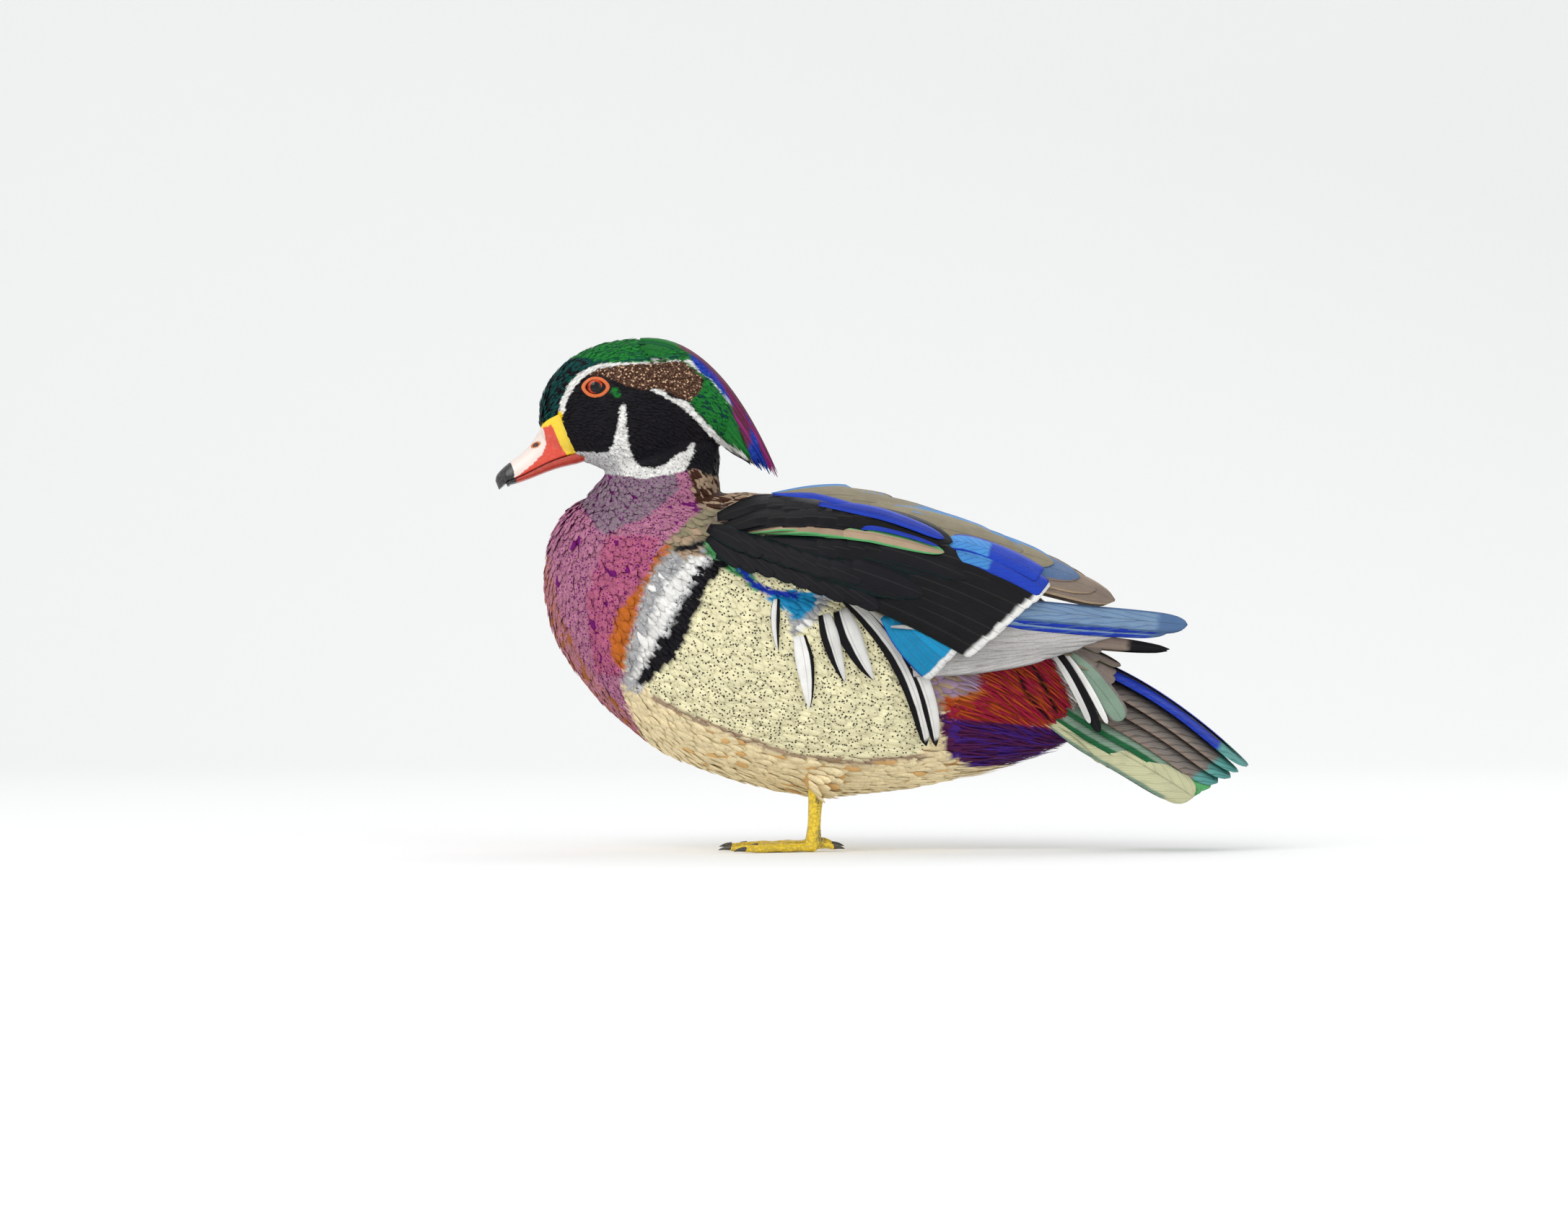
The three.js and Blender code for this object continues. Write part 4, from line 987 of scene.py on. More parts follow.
def paint(p: Array, chance: Array | None = None) -> dict[str, Array]:
    """Gives the colours and gloss of the plumage at each place.

    Args:
        p: places.
        chance: for each place, how far its feather shifts the markings, and its brightness.

    Returns:
        Named values for the plumage finish.
    """
    if chance is None:
        chance = np.tile((0.0, 0.0, 1.0), (len(p), 1))
    made = {k: np.zeros((len(p), 3)) for k in ("tint", "fleck", "edge", "tip", "zones", "gloss", "build")}
    head = is_head(p)
    x, z = p[:, 0] + chance[:, 0], p[:, 2] + chance[:, 1]
    x, z = (np.where(head, there, here) for there, here in zip(drawn(x, z), (x, z)))
    lot = np.abs(np.modf(chance[:, 2] * LOT)[0])
    for marks, chosen in ((HEAD_MARKS, head), (BODY_MARKS, ~head)):
        for mark in marks:
            at = mark.covers(x, z) & chosen
            made["tint"][at] = mark.hue.value
            made["tint"][at & (lot < mark.streaks)] = mark.fleck.value
            made["fleck"][at] = mark.fleck.value
            made["zones"][at] = (mark.amount, NO_RIM, NO_RIM)
            made["gloss"][at] = (mark.metal, mark.rough, mark.fineness)
    made["tint"] *= chance[:, 2:]
    made["edge"] = made["tint"] * 0.8
    made["tip"] = made["tint"] * 1.1
    return made


def unwrapped(p: Array) -> Array:
    """Lays places on the skin out flat, the head beside the body, each unrolled round its own axis.

    Args:
        p: places.

    Returns:
        Places on the flat sheet.
    """
    head = is_head(p)
    around = np.where(head, np.arctan2(p[:, 1], p[:, 2] - 212), np.arctan2(p[:, 1], p[:, 2] - 98))
    turn = around / (2 * np.pi) + 0.5
    along = np.where(head, 0.70 + 0.28 * (p[:, 0] + 135) / 130, 0.01 + 0.66 * (p[:, 0] + 130) / 340)
    return np.stack([along, 0.01 + 0.98 * turn], -1)


def bake_map(obj: Object, roots: Array, local: Array) -> None:
    """Adds the flat map. Args: obj; roots, each feather's place on it; local, the place in a feather."""
    write_map(obj.data, "OFBake", roots + (local - 0.5) * PATCH)


# Feathers

Bend = Callable[[Array, Array], Pair]
Choice = Callable[[Array], Array]


@dataclass(frozen=True)
class Outline:
    """The plan of a feather: half-widths at places along its length, both as shares."""

    places: tuple[float, ...]
    halves: tuple[float, ...]

    def half(self, t: Array) -> Array:
        """Reads the half-width. Args: t, the share of the length. Returns: the half-width."""
        return Curve(self.places, self.halves)(t)


FLIGHT = Outline((0, 0.25, 0.6, 0.85, 0.96, 1), (0.45, 0.9, 1, 0.85, 0.5, 0.06))
BROAD = Outline((0, 0.3, 0.65, 0.88, 0.97, 1), (0.5, 0.92, 1, 0.78, 0.42, 0.06))
SQUARE = Outline((0, 0.3, 0.7, 0.95, 0.99, 1), (0.5, 0.9, 1, 0.98, 0.9, 0.72))
LOCK = Outline((0, 0.3, 0.6, 0.85, 1), (0.7, 1, 0.8, 0.45, 0.04))
ROUND = Outline((0, 0.3, 0.7, 0.9, 0.96, 0.99, 1), (0.5, 0.9, 1, 0.94, 0.74, 0.4, 0.06))
SMALL = Outline((0, 0.35, 0.7, 0.9, 1), (0.5, 0.95, 1, 0.7, 0.12))


def plate(outline: Outline, rows: int, columns: int, thick: float, at: Bend) -> Shell:
    """Makes a thin closed vane.

    Args:
        outline: its plan.
        rows: points along it, closer together towards the tip.
        columns: points across it.
        thick: its thickness at the root.
        at: gives points and outward directions from the shares along and across.

    Returns:
        The shell, whose map holds the shares across and along.
    """
    t = 1 - (1 - np.linspace(0, 1, rows)) ** 1.25
    tt, ss = np.meshgrid(t, np.linspace(-1, 1, columns), indexing="ij")
    point, out = at(tt, ss * outline.half(tt))
    depth = thick * (1 - 0.5 * tt)[..., None] * (0.12 + 0.88 * (1 - ss**2))[..., None]
    deep = out * depth / 2
    points = np.concatenate([(point + deep).reshape(-1, 3), (point - deep).reshape(-1, 3)])
    half = rows * columns
    index = np.arange(half).reshape(rows, columns)
    top = triangles(index[:-1, :-1], index[1:, :-1], index[1:, 1:], index[:-1, 1:])
    rim = np.concatenate([index[:, 0], index[-1, 1:], index[-2::-1, -1], index[0, -2:0:-1]])
    ahead = np.roll(rim, -1)
    faces = np.concatenate([top, top[:, ::-1] + half, triangles(rim, half + rim, half + ahead, ahead)])
    share = np.stack([ss / 2 + 0.5, tt], -1).reshape(-1, 2)
    return Shell(points, outwards(points, faces), {}, np.concatenate([share, share]))


@dataclass(frozen=True)
class Dress:
    """The colours of one large feather."""

    tint: Hue
    edge: Hue | None = None
    tip: Hue | None = None
    edge_from: float = NO_RIM
    tip_from: float = NO_RIM
    fleck: Hue = Hue.BLACK
    amount: float = 0.0
    metal: float = 0.1
    rough: float = 0.42
    bias: float = 0.0
    bars: float = 0.0
    barred: float = 0.0

    def apply(self, shell: Shell, rng: Rng) -> Shell:
        """Gives a feather its values.

        Args:
            shell: the feather.
            rng: the source of small differences.

        Returns:
            The same feather.
        """
        rows = {
            "tint": np.array(self.tint.value) * rng.uniform(0.88, 1.12),
            "edge": (self.edge or self.tint).value,
            "tip": (self.tip or self.tint).value,
            "fleck": self.fleck.value,
            "zones": (self.amount, self.edge_from, self.tip_from),
            "gloss": (self.metal, self.rough, 0.25),
            "build": (self.bias, self.bars, self.barred),
        }
        shell.values = {k: np.tile(np.array(v, float), (len(shell.points), 1)) for k, v in rows.items()}
        return shell


@dataclass(frozen=True)
class Quill:
    """A feather that lies along the bird's side: its root and tip as seen from the side."""

    root: tuple[float, float]
    tip: tuple[float, float]
    half: float
    dress: Dress
    bow: float = 0.0
    lift: tuple[float, float] = (-1.0, 1.0)
    outline: Outline = FLIGHT
    shear: float = 0.0

    def blend(self, other: "Quill", t: float) -> "Quill":
        """Gives a feather between this one and another.

        Args:
            other: the last of the row.
            t: the share of the other.

        Returns:
            The feather.
        """
        sizes = {key: mix(getattr(self, key), getattr(other, key), t) for key in ("half", "bow")}
        for key in ("root", "tip", "lift"):
            sizes[key] = tuple(mix(a, b, t) for a, b in zip(getattr(self, key), getattr(other, key)))
        return replace(self, dress=(self if t < 0.5 else other).dress, **sizes)

    def build(self, surface: Tube, rng: Rng) -> Shell:
        """Makes the feather on the left side.

        Args:
            surface: what it lies on.
            rng: the source of small differences.

        Returns:
            The coloured shell.
        """
        root = np.array(self.root) + rng.normal(0, 0.25, 2)
        run = np.array(self.tip) + rng.normal(0, 0.45, 2) - root
        across = np.array((-run[1], run[0])) / np.hypot(*run)
        wave = rng.uniform(*PHASES)
        long = float(np.hypot(*run))
        step = 0.5

        def at(t: Array, w: Array) -> Pair:
            """Lays the vane on the surface. Args: t; w. Returns: points and outward directions."""
            swing = self.bow * 4 * t * (1 - t) + w * self.half
            reach = t + self.shear * w * self.half / long * t**4
            x, z = (root[k] + run[k] * reach + across[k] * swing for k in (0, 1))
            slope_x = (surface.side(x + step, z) - surface.side(x - step, z)) / (2 * step)
            slope_z = (surface.side(x, z + step) - surface.side(x, z - step)) / (2 * step)
            out = unit(np.stack([-slope_x, -np.ones_like(x), -slope_z], -1))
            rise = mix(self.lift[0], self.lift[1], np.minimum(1, t * 2.2))
            rise = rise + 0.1 * self.half * (1 - w * w) + 0.12 * np.sin(wave + 9 * t) * w
            return np.stack([x, -surface.side(x, z), z], -1) + out * rise[..., None], out

        return self.dress.apply(plate(self.outline, int(np.clip(long / 2.2, 10, 44)), 7, 0.5, at), rng)


def row(count: int, first: Quill, last: Quill) -> list[Quill]:
    """Makes a row of feathers between two. Args: count; first; last. Returns: all of them."""
    return [first.blend(last, i / max(count - 1, 1)) for i in range(count)]


def quill_piece(name: str, quills: Sequence[Quill], surface: Tube, side: Side, seed: int) -> Object:
    """Builds feathers into a piece. Args: name; quills; surface; side; seed. Returns: the piece."""
    rng = np.random.default_rng(seed)
    return shells_piece(name, [q.build(surface, rng) for q in quills], side)


def shells_piece(name: str, shells: Sequence[Shell], side: Side = Side.LEFT) -> Object:
    """Joins coloured feather shells into one piece with its flat map.

    Args:
        name: the piece's name.
        shells: the feathers, of both sides or as on the left side.
        side: the right one mirrors them.

    Returns:
        The piece.
    """
    places = [unwrapped(s.points[:1] * (1, -side, 1)) for s in shells]
    whole = Shell.join(shells)
    obj = to_object(name, whole if side is Side.LEFT else whole.mirrored())
    bake_map(obj, np.repeat(np.concatenate(places), [len(s.points) for s in shells], 0), whole.across)
    return obj


# The feather coat that follows the skin


class Tract(IntEnum):
    """Kinds of small feather, by what part of the bird they clothe."""

    HEAD = 0
    NECK = 1
    BREAST = 2
    FLANK = 3
    BELLY = 4
    BACK = 5
    VENT = 6


@dataclass(frozen=True)
class Coat:
    """How one tract grows, in millimetres."""

    spacing: float
    length: float
    half: float
    lift: float
    slot: str


COATS = {
    Tract.HEAD: Coat(1.12, 4.4, 0.8, 0.6, "head_plumage"),
    Tract.NECK: Coat(1.6, 6.5, 1.3, 1.0, "breast_plumage"),
    Tract.BREAST: Coat(2.0, 8.5, 1.9, 1.15, "breast_plumage"),
    Tract.FLANK: Coat(1.9, 10.0, 1.7, 1.05, "flank_plumage"),
    Tract.BELLY: Coat(2.3, 11.0, 1.9, 1.15, "flank_plumage"),
    Tract.BACK: Coat(2.4, 11.0, 2.4, 1.15, "flank_plumage"),
    Tract.VENT: Coat(1.7, 20.0, 0.62, 1.5, "vent_plumage"),
}
# Rows of x, z, and the direction in which the feathers point there
LIE = np.array(
    [
        (-130, 210, 1.0, 0.6), (-120, 232, 1.0, 0.5), (-100, 243, 1.0, 0.05), (-75, 243, 1.0, -0.15),
        (-50, 235, 0.8, -0.6), (-110, 205, 1.0, -0.1), (-90, 205, 1.0, -0.25), (-60, 215, 0.9, -0.5),
        (-110, 188, 1.0, -0.35), (-80, 182, 0.9, -0.6), (-50, 190, 0.6, -0.9), (-105, 172, 0.35, -1.0),
        (-60, 172, 0.7, -0.7), (-122, 140, 0.25, -1.0), (-110, 100, 0.55, -0.9), (-85, 70, 0.9, -0.55),
        (-85, 140, 0.75, -0.75), (-50, 110, 0.85, -0.6), (-40, 50, 1.0, -0.15), (0, 100, 0.85, -0.6),
        (0, 35, 1.0, -0.05), (45, 70, 0.95, -0.3), (50, 35, 1.0, 0.05), (100, 80, 0.8, -0.65),
        (100, 45, 0.9, -0.2), (0, 165, 1.0, -0.15), (70, 145, 1.0, -0.4), (120, 100, 0.85, -0.55),
    ]
)  # fmt: skip
LIE_SOFT = 60  # square millimetres round a row's place in which it rules alone


def lie_of(p: Array) -> Array:
    """Gives the way that feathers point.

    Args:
        p: places.

    Returns:
        Directions, not yet along the skin.
    """
    gap = (p[:, None, 0] - LIE[None, :, 0]) ** 2 + (p[:, None, 2] - LIE[None, :, 1]) ** 2
    weight = 1 / (gap + LIE_SOFT) ** 1.5
    flow = (weight[..., None] * LIE[None, :, 2:]).sum(1) / weight.sum(1)[:, None]
    return unit(np.stack([flow[:, 0], 0 * flow[:, 0], flow[:, 1]], -1))


class Plumes:
    """Grows the small feathers over the skin."""

    ruffle = 0.09  # how far feathers turn away from the smooth lie, in radians
    sunk = 0.35  # how deep the roots are under the skin
    tries = 4.5  # how many roots are tried on a square of the spacing

    def __init__(self, skin: Object, material: Material) -> None:
        """Reads the skin.

        Args:
            skin: the finished skin.
            material: the feathers' finish.
        """
        mesh = skin.data
        mesh.calc_loop_triangles()
        self.material = material
        self.places = read_points(mesh)
        self.tri = fetch(mesh.loop_triangles, "vertices", 3, np.int32)
        self.normal = fetch(mesh.vertices, "normal", 3).astype(float)

    def scatter(self, spacing: float, chosen: Choice, seed: int) -> tuple:
        """Spreads roots evenly over the chosen part.

        Args:
            spacing: the least distance between two.
            chosen: tells which places count.
            seed: the source of chance.

        Returns:
            Places and normals.
        """
        rng = np.random.default_rng(seed)
        corners = self.places[self.tri]
        keep = chosen(corners.mean(1))
        tri, corners = self.tri[keep], corners[keep]
        sides = corners[:, 1:] - corners[:, :1]
        area = np.linalg.norm(np.cross(sides[:, 0], sides[:, 1]), axis=1) / 2
        count = int(area.sum() / spacing**2 * self.tries)
        pick = rng.choice(len(area), count, p=area / area.sum())
        share = np.sqrt(rng.random(count))
        other = rng.random(count)
        weight = np.stack([1 - share, share * (1 - other), share * other], -1)[..., None]
        place = (corners[pick] * weight).sum(1)
        normal = unit((self.normal[tri[pick]] * weight).sum(1))
        tree = kdtree.KDTree(count)
        for i, one in enumerate(place.tolist()):
            tree.insert(one, i)
        tree.balance()
        free = np.ones(count, bool)
        for i, one in enumerate(place.tolist()):
            if free[i]:
                for _, j, _ in tree.find_range(one, spacing):
                    if j > i:
                        free[j] = False
        return place[free], normal[free]

    def grow(self, name: str, tract: Tract, chosen: Choice, seed: int) -> None:
        """Clothes a part of the skin in small feathers: a piece, a plain mesh with its flat map.

        Args:
            name: the piece's name.
            tract: the kind of feather.
            chosen: tells which places count.
            seed: the source of chance.
        """
        coat = COATS[tract]
        rng = np.random.default_rng(seed)
        place, normal = self.scatter(coat.spacing, chosen, seed)
        count = len(place)
        flow = lie_of(place) + rng.normal(0, 0.05, (count, 3))
        flow = unit(flow - (flow * normal).sum(1)[:, None] * normal)
        size = np.array([coat.length, coat.half, coat.lift]) * rng.uniform(0.85, 1.12, (count, 1))
        shifts = rng.normal(0, coat.half * 0.2, (count, 2))
        values = {
            "chance": np.column_stack([shifts, rng.uniform(0.9, 1.1, count)]),
            "normal_way": normal,
            "flow": flow,
            "size": size * MM,
            "sheet": np.column_stack([unwrapped(place), np.zeros(count)]),
        }
        obj = to_object(name, Shell(place - normal * self.sunk, np.zeros((0, 3), int), values))
        proto = feather_shape("feather_of_" + name, tract)
        modifier = obj.modifiers.new("feathers", "NODES")
        modifier.node_group = coat_tree(proto, self.material)
        given = {"Seed": seed, "Ruffle": self.ruffle}
        for item in modifier.node_group.interface.items_tree:
            if item.name in given:
                modifier[item.identifier] = given[item.name]
        settle(obj)
        mesh = obj.data
        held = (mesh.attributes[key].data for key in ("sheet", "local", "chance"))
        sheet, local, chance = (fetch(data, "vector", 3) for data in held)
        bake_map(obj, sheet[:, :2], local[:, :2])
        write_values(mesh, paint(read_points(mesh), chance.astype(float)))
        for key in ("local", *values):
            mesh.attributes.remove(mesh.attributes[key])
        mesh.shade_smooth()
        bpy.data.objects.remove(proto)
        log.info("%s: %d feathers, %d triangles", name, count, len(mesh.polygons))
        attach(obj, "root")


def feather_shape(name: str, tract: Tract) -> Object:
    """Makes the one small feather that a tract repeats: length, half-width and lift of one.

    Args:
        name: the object's name.
        tract: the kind of feather.

    Returns:
        The hidden object.
    """

    def at(t: Array, w: Array) -> Pair:
        """Bends the vane. Args: t; w. Returns: points and outward directions."""
        z = np.sin(t * 2.1) * 1.05 - 0.32 * w * w
        return np.stack([t, w, z], -1), np.stack([0 * t, 0 * t, np.ones_like(t)], -1)

    shell = plate(*((LOCK, 6, 2) if tract is Tract.VENT else (SMALL, 5, 3)), 0.16, at)
    shell.values["local"] = np.column_stack([shell.across, np.zeros(len(shell.points))])
    obj = to_object(name, shell)
    obj.data.transform(Matrix.Scale(1000, 4) @ Matrix.Translation((-SHIFT * MM, 0, 0)))
    obj.hide_render = True
    obj.hide_viewport = True
    return obj


def coat_tree(proto: Object, material: Material) -> bpy.types.NodeTree:
    """Builds the node tree that sets a feather on each root.

    Args:
        proto: the feather.
        material: its finish.

    Returns:
        The tree.
    """
    tree = bpy.data.node_groups.new("coat_" + proto.name, "GeometryNodeTree")
    for name, way, kind in (
        ("Geometry", "INPUT", "Geometry"),
        ("Seed", "INPUT", "Int"),
        ("Ruffle", "INPUT", "Float"),
        ("Geometry", "OUTPUT", "Geometry"),
    ):
        tree.interface.new_socket(name, in_out=way, socket_type="NodeSocket" + kind)
    g = Graph(tree)
    given = g.node("NodeGroupInput").outputs
    way, flow, size = (
        g.out("GeometryNodeInputNamedAttribute", "Attribute", {"data_type": "FLOAT_VECTOR"}, {"Name": key})
        for key in ("normal_way", "flow", "size")
    )
    turn = g.out(
        "FunctionNodeAxesToRotation",
        "Rotation",
        {"primary_axis": "Z", "secondary_axis": "X"},
        {"Primary Axis": way, "Secondary Axis": flow},
    )
    limits = {"Min": (-1.0, -0.6, -1.0), "Max": (1.0, 1.0, 1.0), "Seed": given["Seed"]}
    chance = g.out("FunctionNodeRandomValue", 0, {"data_type": "FLOAT_VECTOR"}, limits)
    scaled = {"Vector": chance, "Scale": given["Ruffle"]}
    wobble = g.out("ShaderNodeVectorMath", 0, {"operation": "SCALE"}, scaled)
    tilt = g.out("FunctionNodeEulerToRotation", 0, None, {"Euler": wobble})
    both = {"Rotation": turn, "Rotate By": tilt}
    turned = g.out("FunctionNodeRotateRotation", "Rotation", {"rotation_space": "LOCAL"}, both)
    shape = g.out("GeometryNodeObjectInfo", "Geometry", {"transform_space": "ORIGINAL"}, {"Object": proto})
    roots = {"Points": given["Geometry"], "Instance": shape, "Rotation": turned, "Scale": size}
    placed = g.out("GeometryNodeInstanceOnPoints", "Instances", None, roots)
    real = g.out("GeometryNodeRealizeInstances", "Geometry", None, {"Geometry": placed})
    done = g.out("GeometryNodeSetMaterial", "Geometry", None, {"Geometry": real, "Material": material})
    g.node("NodeGroupOutput", None, {"Geometry": done})
    return tree


# Sub-assemblies


def finish_piece(obj: Object, material: Material, slot: str, *nodes: str) -> None:
    """Gives a piece its finish, hangs it from the root and hides the solids it stands for.

    Args:
        obj: the piece.
        material: its finish.
        slot: the name of a material slot; not used.
        nodes: the solids it stands for.
    """
    obj.data.materials.clear()
    obj.data.materials.append(material)
    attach(obj, "root")
    if nodes:
        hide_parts(*nodes)


@dataclass
class Skin:
    """The one skin under the coat."""

    depth: float = 1.7
    head_depth: float = 0.7
    neck_depth: float = 1.3
    shank_depth: float = 0.8
    grain: float = 1.22

    def build(self) -> Object:
        """Makes the skin. Returns: the object."""
        angle = angles(64)
        heights = np.linspace(150, 203, 24)
        middle, long, wide = (line(heights)[:, None] for line in curves(NECK, 1, 2, 3))
        x = middle + (long - self.neck_depth) * np.cos(angle)
        y = (wide - self.neck_depth) * np.sin(angle)
        parts = [
            loft(BODY.rings(np.linspace(-128.2, 134.6, 120), 96, -self.depth)),
            loft(HEAD.rings(np.linspace(-46, 46.6, 70), 72, -self.head_depth) + HEAD_AT),
            loft(np.stack([x, y, heights[:, None] + 0 * x], -1)),
        ]
        height, middle, long, wide = np.array(SHANK, float).T[:, :, None]
        for side in Side:
            x = middle + (long - self.shank_depth) * np.cos(angle)
            y = side * LEG_SPREAD + (wide - self.shank_depth) * np.sin(angle)
            parts += [self.pad(side), loft(np.stack([x, y, height + 0.6 + 0 * x], -1))]
        return fused("skin", parts, self.grain, 6)

    def pad(self, side: Side) -> Shell:
        """Makes the bulge of a folded wing's arm.

        Args:
            side: the bird's side.

        Returns:
            The closed shell.
        """
        rim = np.array(ARM + ARM[:1], float)
        at = np.linspace(0, len(rim) - 1, 80, endpoint=False)
        edge = np.stack([Curve(np.arange(len(rim)), column)(at) for column in rim.T], -1)
        centre = edge.mean(0)
        rings = []
        for share in (0.04, 0.3, 0.55, 0.75, 0.88, 0.96, 1.0):
            flat = centre + (edge - centre) * share * 0.97
            low = BODY.side(flat[:, 0], flat[:, 1]) - 2.0
            high = np.maximum(WING.side(flat[:, 0], flat[:, 1]) - 2.2, low)
            out = mix(high, low, share**6)
            rings.append(np.column_stack([flat[:, 0], side * out, flat[:, 1]]))
        rings.append(rings[-1] * (1, 0, 1) + (0, side * 8.0, 0))
        return loft(np.array(rings))

    def dress(self, obj: Object, material: Material) -> None:
        """Paints the skin with the same markings as the coat, a fifth darker as painted shade for the gaps
        between feathers.

        Args:
            obj: the skin.
            material: the plumage finish.
        """
        p = read_points(obj.data)
        values = paint(p)
        # Painted shade: the skin shows only between feathers, so its colours are darkened by a fifth there.
        values["tint"] *= 0.8
        write_values(obj.data, values)
        bake_map(obj, unwrapped(p), np.full((len(p), 2), 0.5))
        nodes = ("head", "neck", "breast", "torso", "rump", "thigh_left", "thigh_right")
        finish_piece(obj, material, "flank_plumage", *nodes)


@dataclass
class Bill:
    """The bill, in a frame along the mouth line: forward, top, half-width."""

    pitch: float = 22.0
    gape: tuple[float, float] = (-30.7, 12.0)
    table: Points = (
        (-9, 20, 8), (0, 19, 8.3), (5, 18.5, 8.1), (9, 16.8, 7.7), (13.5, 13.4, 7.2), (18, 10.5, 6.9),
        (24, 8.3, 7), (30, 6.8, 7.3), (34.5, 5.2, 6.6), (37.6, 3.4, 4.2), (39, 1.4, 2),
    )  # fmt: skip

    @property
    def turn(self) -> tuple[float, float]:
        """The cosine and sine of the pitch. Returns: both."""
        angle = math.radians(self.pitch)
        return math.cos(angle), math.sin(angle)

    def place(self, forward: Array, across: Array, up: Array) -> Array:
        """Turns the bill's own frame into the bird's.

        Args:
            forward: distances from the gape.
            across: distances from the middle plane.
            up: heights over the mouth line.

        Returns:
            Places.
        """
        c, s = self.turn
        x = HEAD_AT[0] + self.gape[0] - forward * c - up * s
        return np.stack([x, across + 0 * x, HEAD_AT[2] + self.gape[1] - forward * s + up * c], -1)

    def local(self, p: Array) -> Pair:
        """Finds places in the bill's own frame.

        Args:
            p: places.

        Returns:
            The distances forward from the gape and the heights over the mouth line.
        """
        c, s = self.turn
        dx, dz = HEAD_AT[0] + self.gape[0] - p[:, 0], p[:, 2] - HEAD_AT[2] - self.gape[1]
        return dx * c - dz * s, dx * s + dz * c

    @staticmethod
    def lip(forward: Array) -> Array:
        """Gives the bow of the mouth line. Args: forward, distances from the gape. Returns: heights."""
        return 0.55 * np.sin(forward / 39 * 2 * np.pi) - np.maximum(forward - 33, 0) * 0.42

    def flared(self, forward: Array, up: Array, across: Array) -> Array:
        """Widens the bill's base so that it lies on the face.

        Args:
            forward: distances from the gape.
            up: heights over the mouth line.
            across: distances from the middle plane.

        Returns:
            The new distances from the middle plane.
        """
        place = self.place(forward + 0 * up, 0 * up, up) - HEAD_AT
        x, z = place[..., 0], place[..., 2]
        inside = (x > -46) & (z < HEAD.top(x) - 0.3) & (z > HEAD.bottom(x) + 0.3)
        sunk = 0.55 - 0.9 * np.clip(-forward, 0, 4)
        face = np.where(inside, HEAD.side(x, z) + sunk, 0) * (np.abs(across) > 0.6) * (forward < 12)
        return np.sign(across) * np.maximum(np.abs(across), face)

    def build(self) -> list[Object]:
        """Makes the upper and lower bill. Returns: the two objects."""
        top, half = curves(self.table, 1, 2)
        angle = angles(96, 0.5)[None]
        c, s = np.cos(angle), np.sin(angle)
        forward = np.concatenate([np.linspace(-6, 34, 120), np.linspace(34.3, 38.9, 24)])[:, None]
        low = self.lip(forward)
        up = np.where(s > 0, low + (top(forward) - low) * np.abs(s) ** 1.1, low + 0.8 * s)
        across = self.flared(forward, up, half(forward) * squarer(c, np.where(s > 0, 0.75, 0.35)))
        nostril = np.exp(-(((forward - 14.5) / 2.0) ** 2 + ((up - 9.9) / 1.0) ** 2) ** 2)
        across = across - np.sign(across) * nostril * 1.6
        upper = loft(self.place(forward + 0 * up, across, up))
        self.colour(upper, np.append(nostril.ravel(), [0, 0]))
        back = np.linspace(-6, 34.5, 110)[:, None]
        depth = mix(4.6, 1.5, np.maximum(back, 0) / 35)
        top_line = self.lip(back) - 0.8 - GAP
        up = np.where(s > 0, top_line + 0 * s, top_line + depth * s)
        across = self.flared(back, up, (half(back) - 1) * np.sign(c) * np.abs(c) ** 0.6)
        lower = loft(self.place(back + 0 * up, across, up)).tinted((0.50, 0.040, 0.016))
        lower.values["tint"][drawn(*lower.points.T[::2])[0] < -147.5] = Hue.BLACK.value
        return [to_object("bill_top", upper), to_object("bill_bottom", lower)]

    def colour(self, shell: Shell, dip: Array) -> None:
        """Paints the upper bill, with painted shade in the deep of each nostril.

        Args:
            shell: the upper bill.
            dip: how deep each point is in a nostril.
        """
        p = shell.points
        x, z = drawn(p[:, 0], p[:, 2])
        cheek = Mark(Hue.WHITE, [(-137, 215), (-132.9, 202), (-132, 195.9), (-134.1, 190.9), (-139.1, 185.8),
                                 (-146.2, 180), (-149, 178.5), (-160, 200)])
        nail = Mark(Hue.BLACK, [(-162, 190), (-150.5, 186.5), (-148.5, 181), (-149.5, 165), (-162, 165)])
        tint = shell.tinted(Hue.RED.value).values["tint"]
        for where, colour in (
            (cheek.covers(x, z), (0.80, 0.68, 0.62)),
            (YELLOW_LINE.covers(x, z), Hue.YELLOW.value),
            ((self.local(p)[0] < 1.2) | (z > 206.6), Hue.YELLOW.value),
            ((np.abs(p[:, 1]) < 1.3) & (z > 184), Hue.BLACK.value),
            (nail.covers(x, z), Hue.BLACK.value),
            ((dip > 0.04) & (dip < 0.62), (0.62, 0.16, 0.02)),
            # Painted shade: the deep of each nostril dent is near-black, for the shade inside the opening.
            (dip >= 0.62, (0.02, 0.006, 0.004)),
        ):
            tint[where] = colour


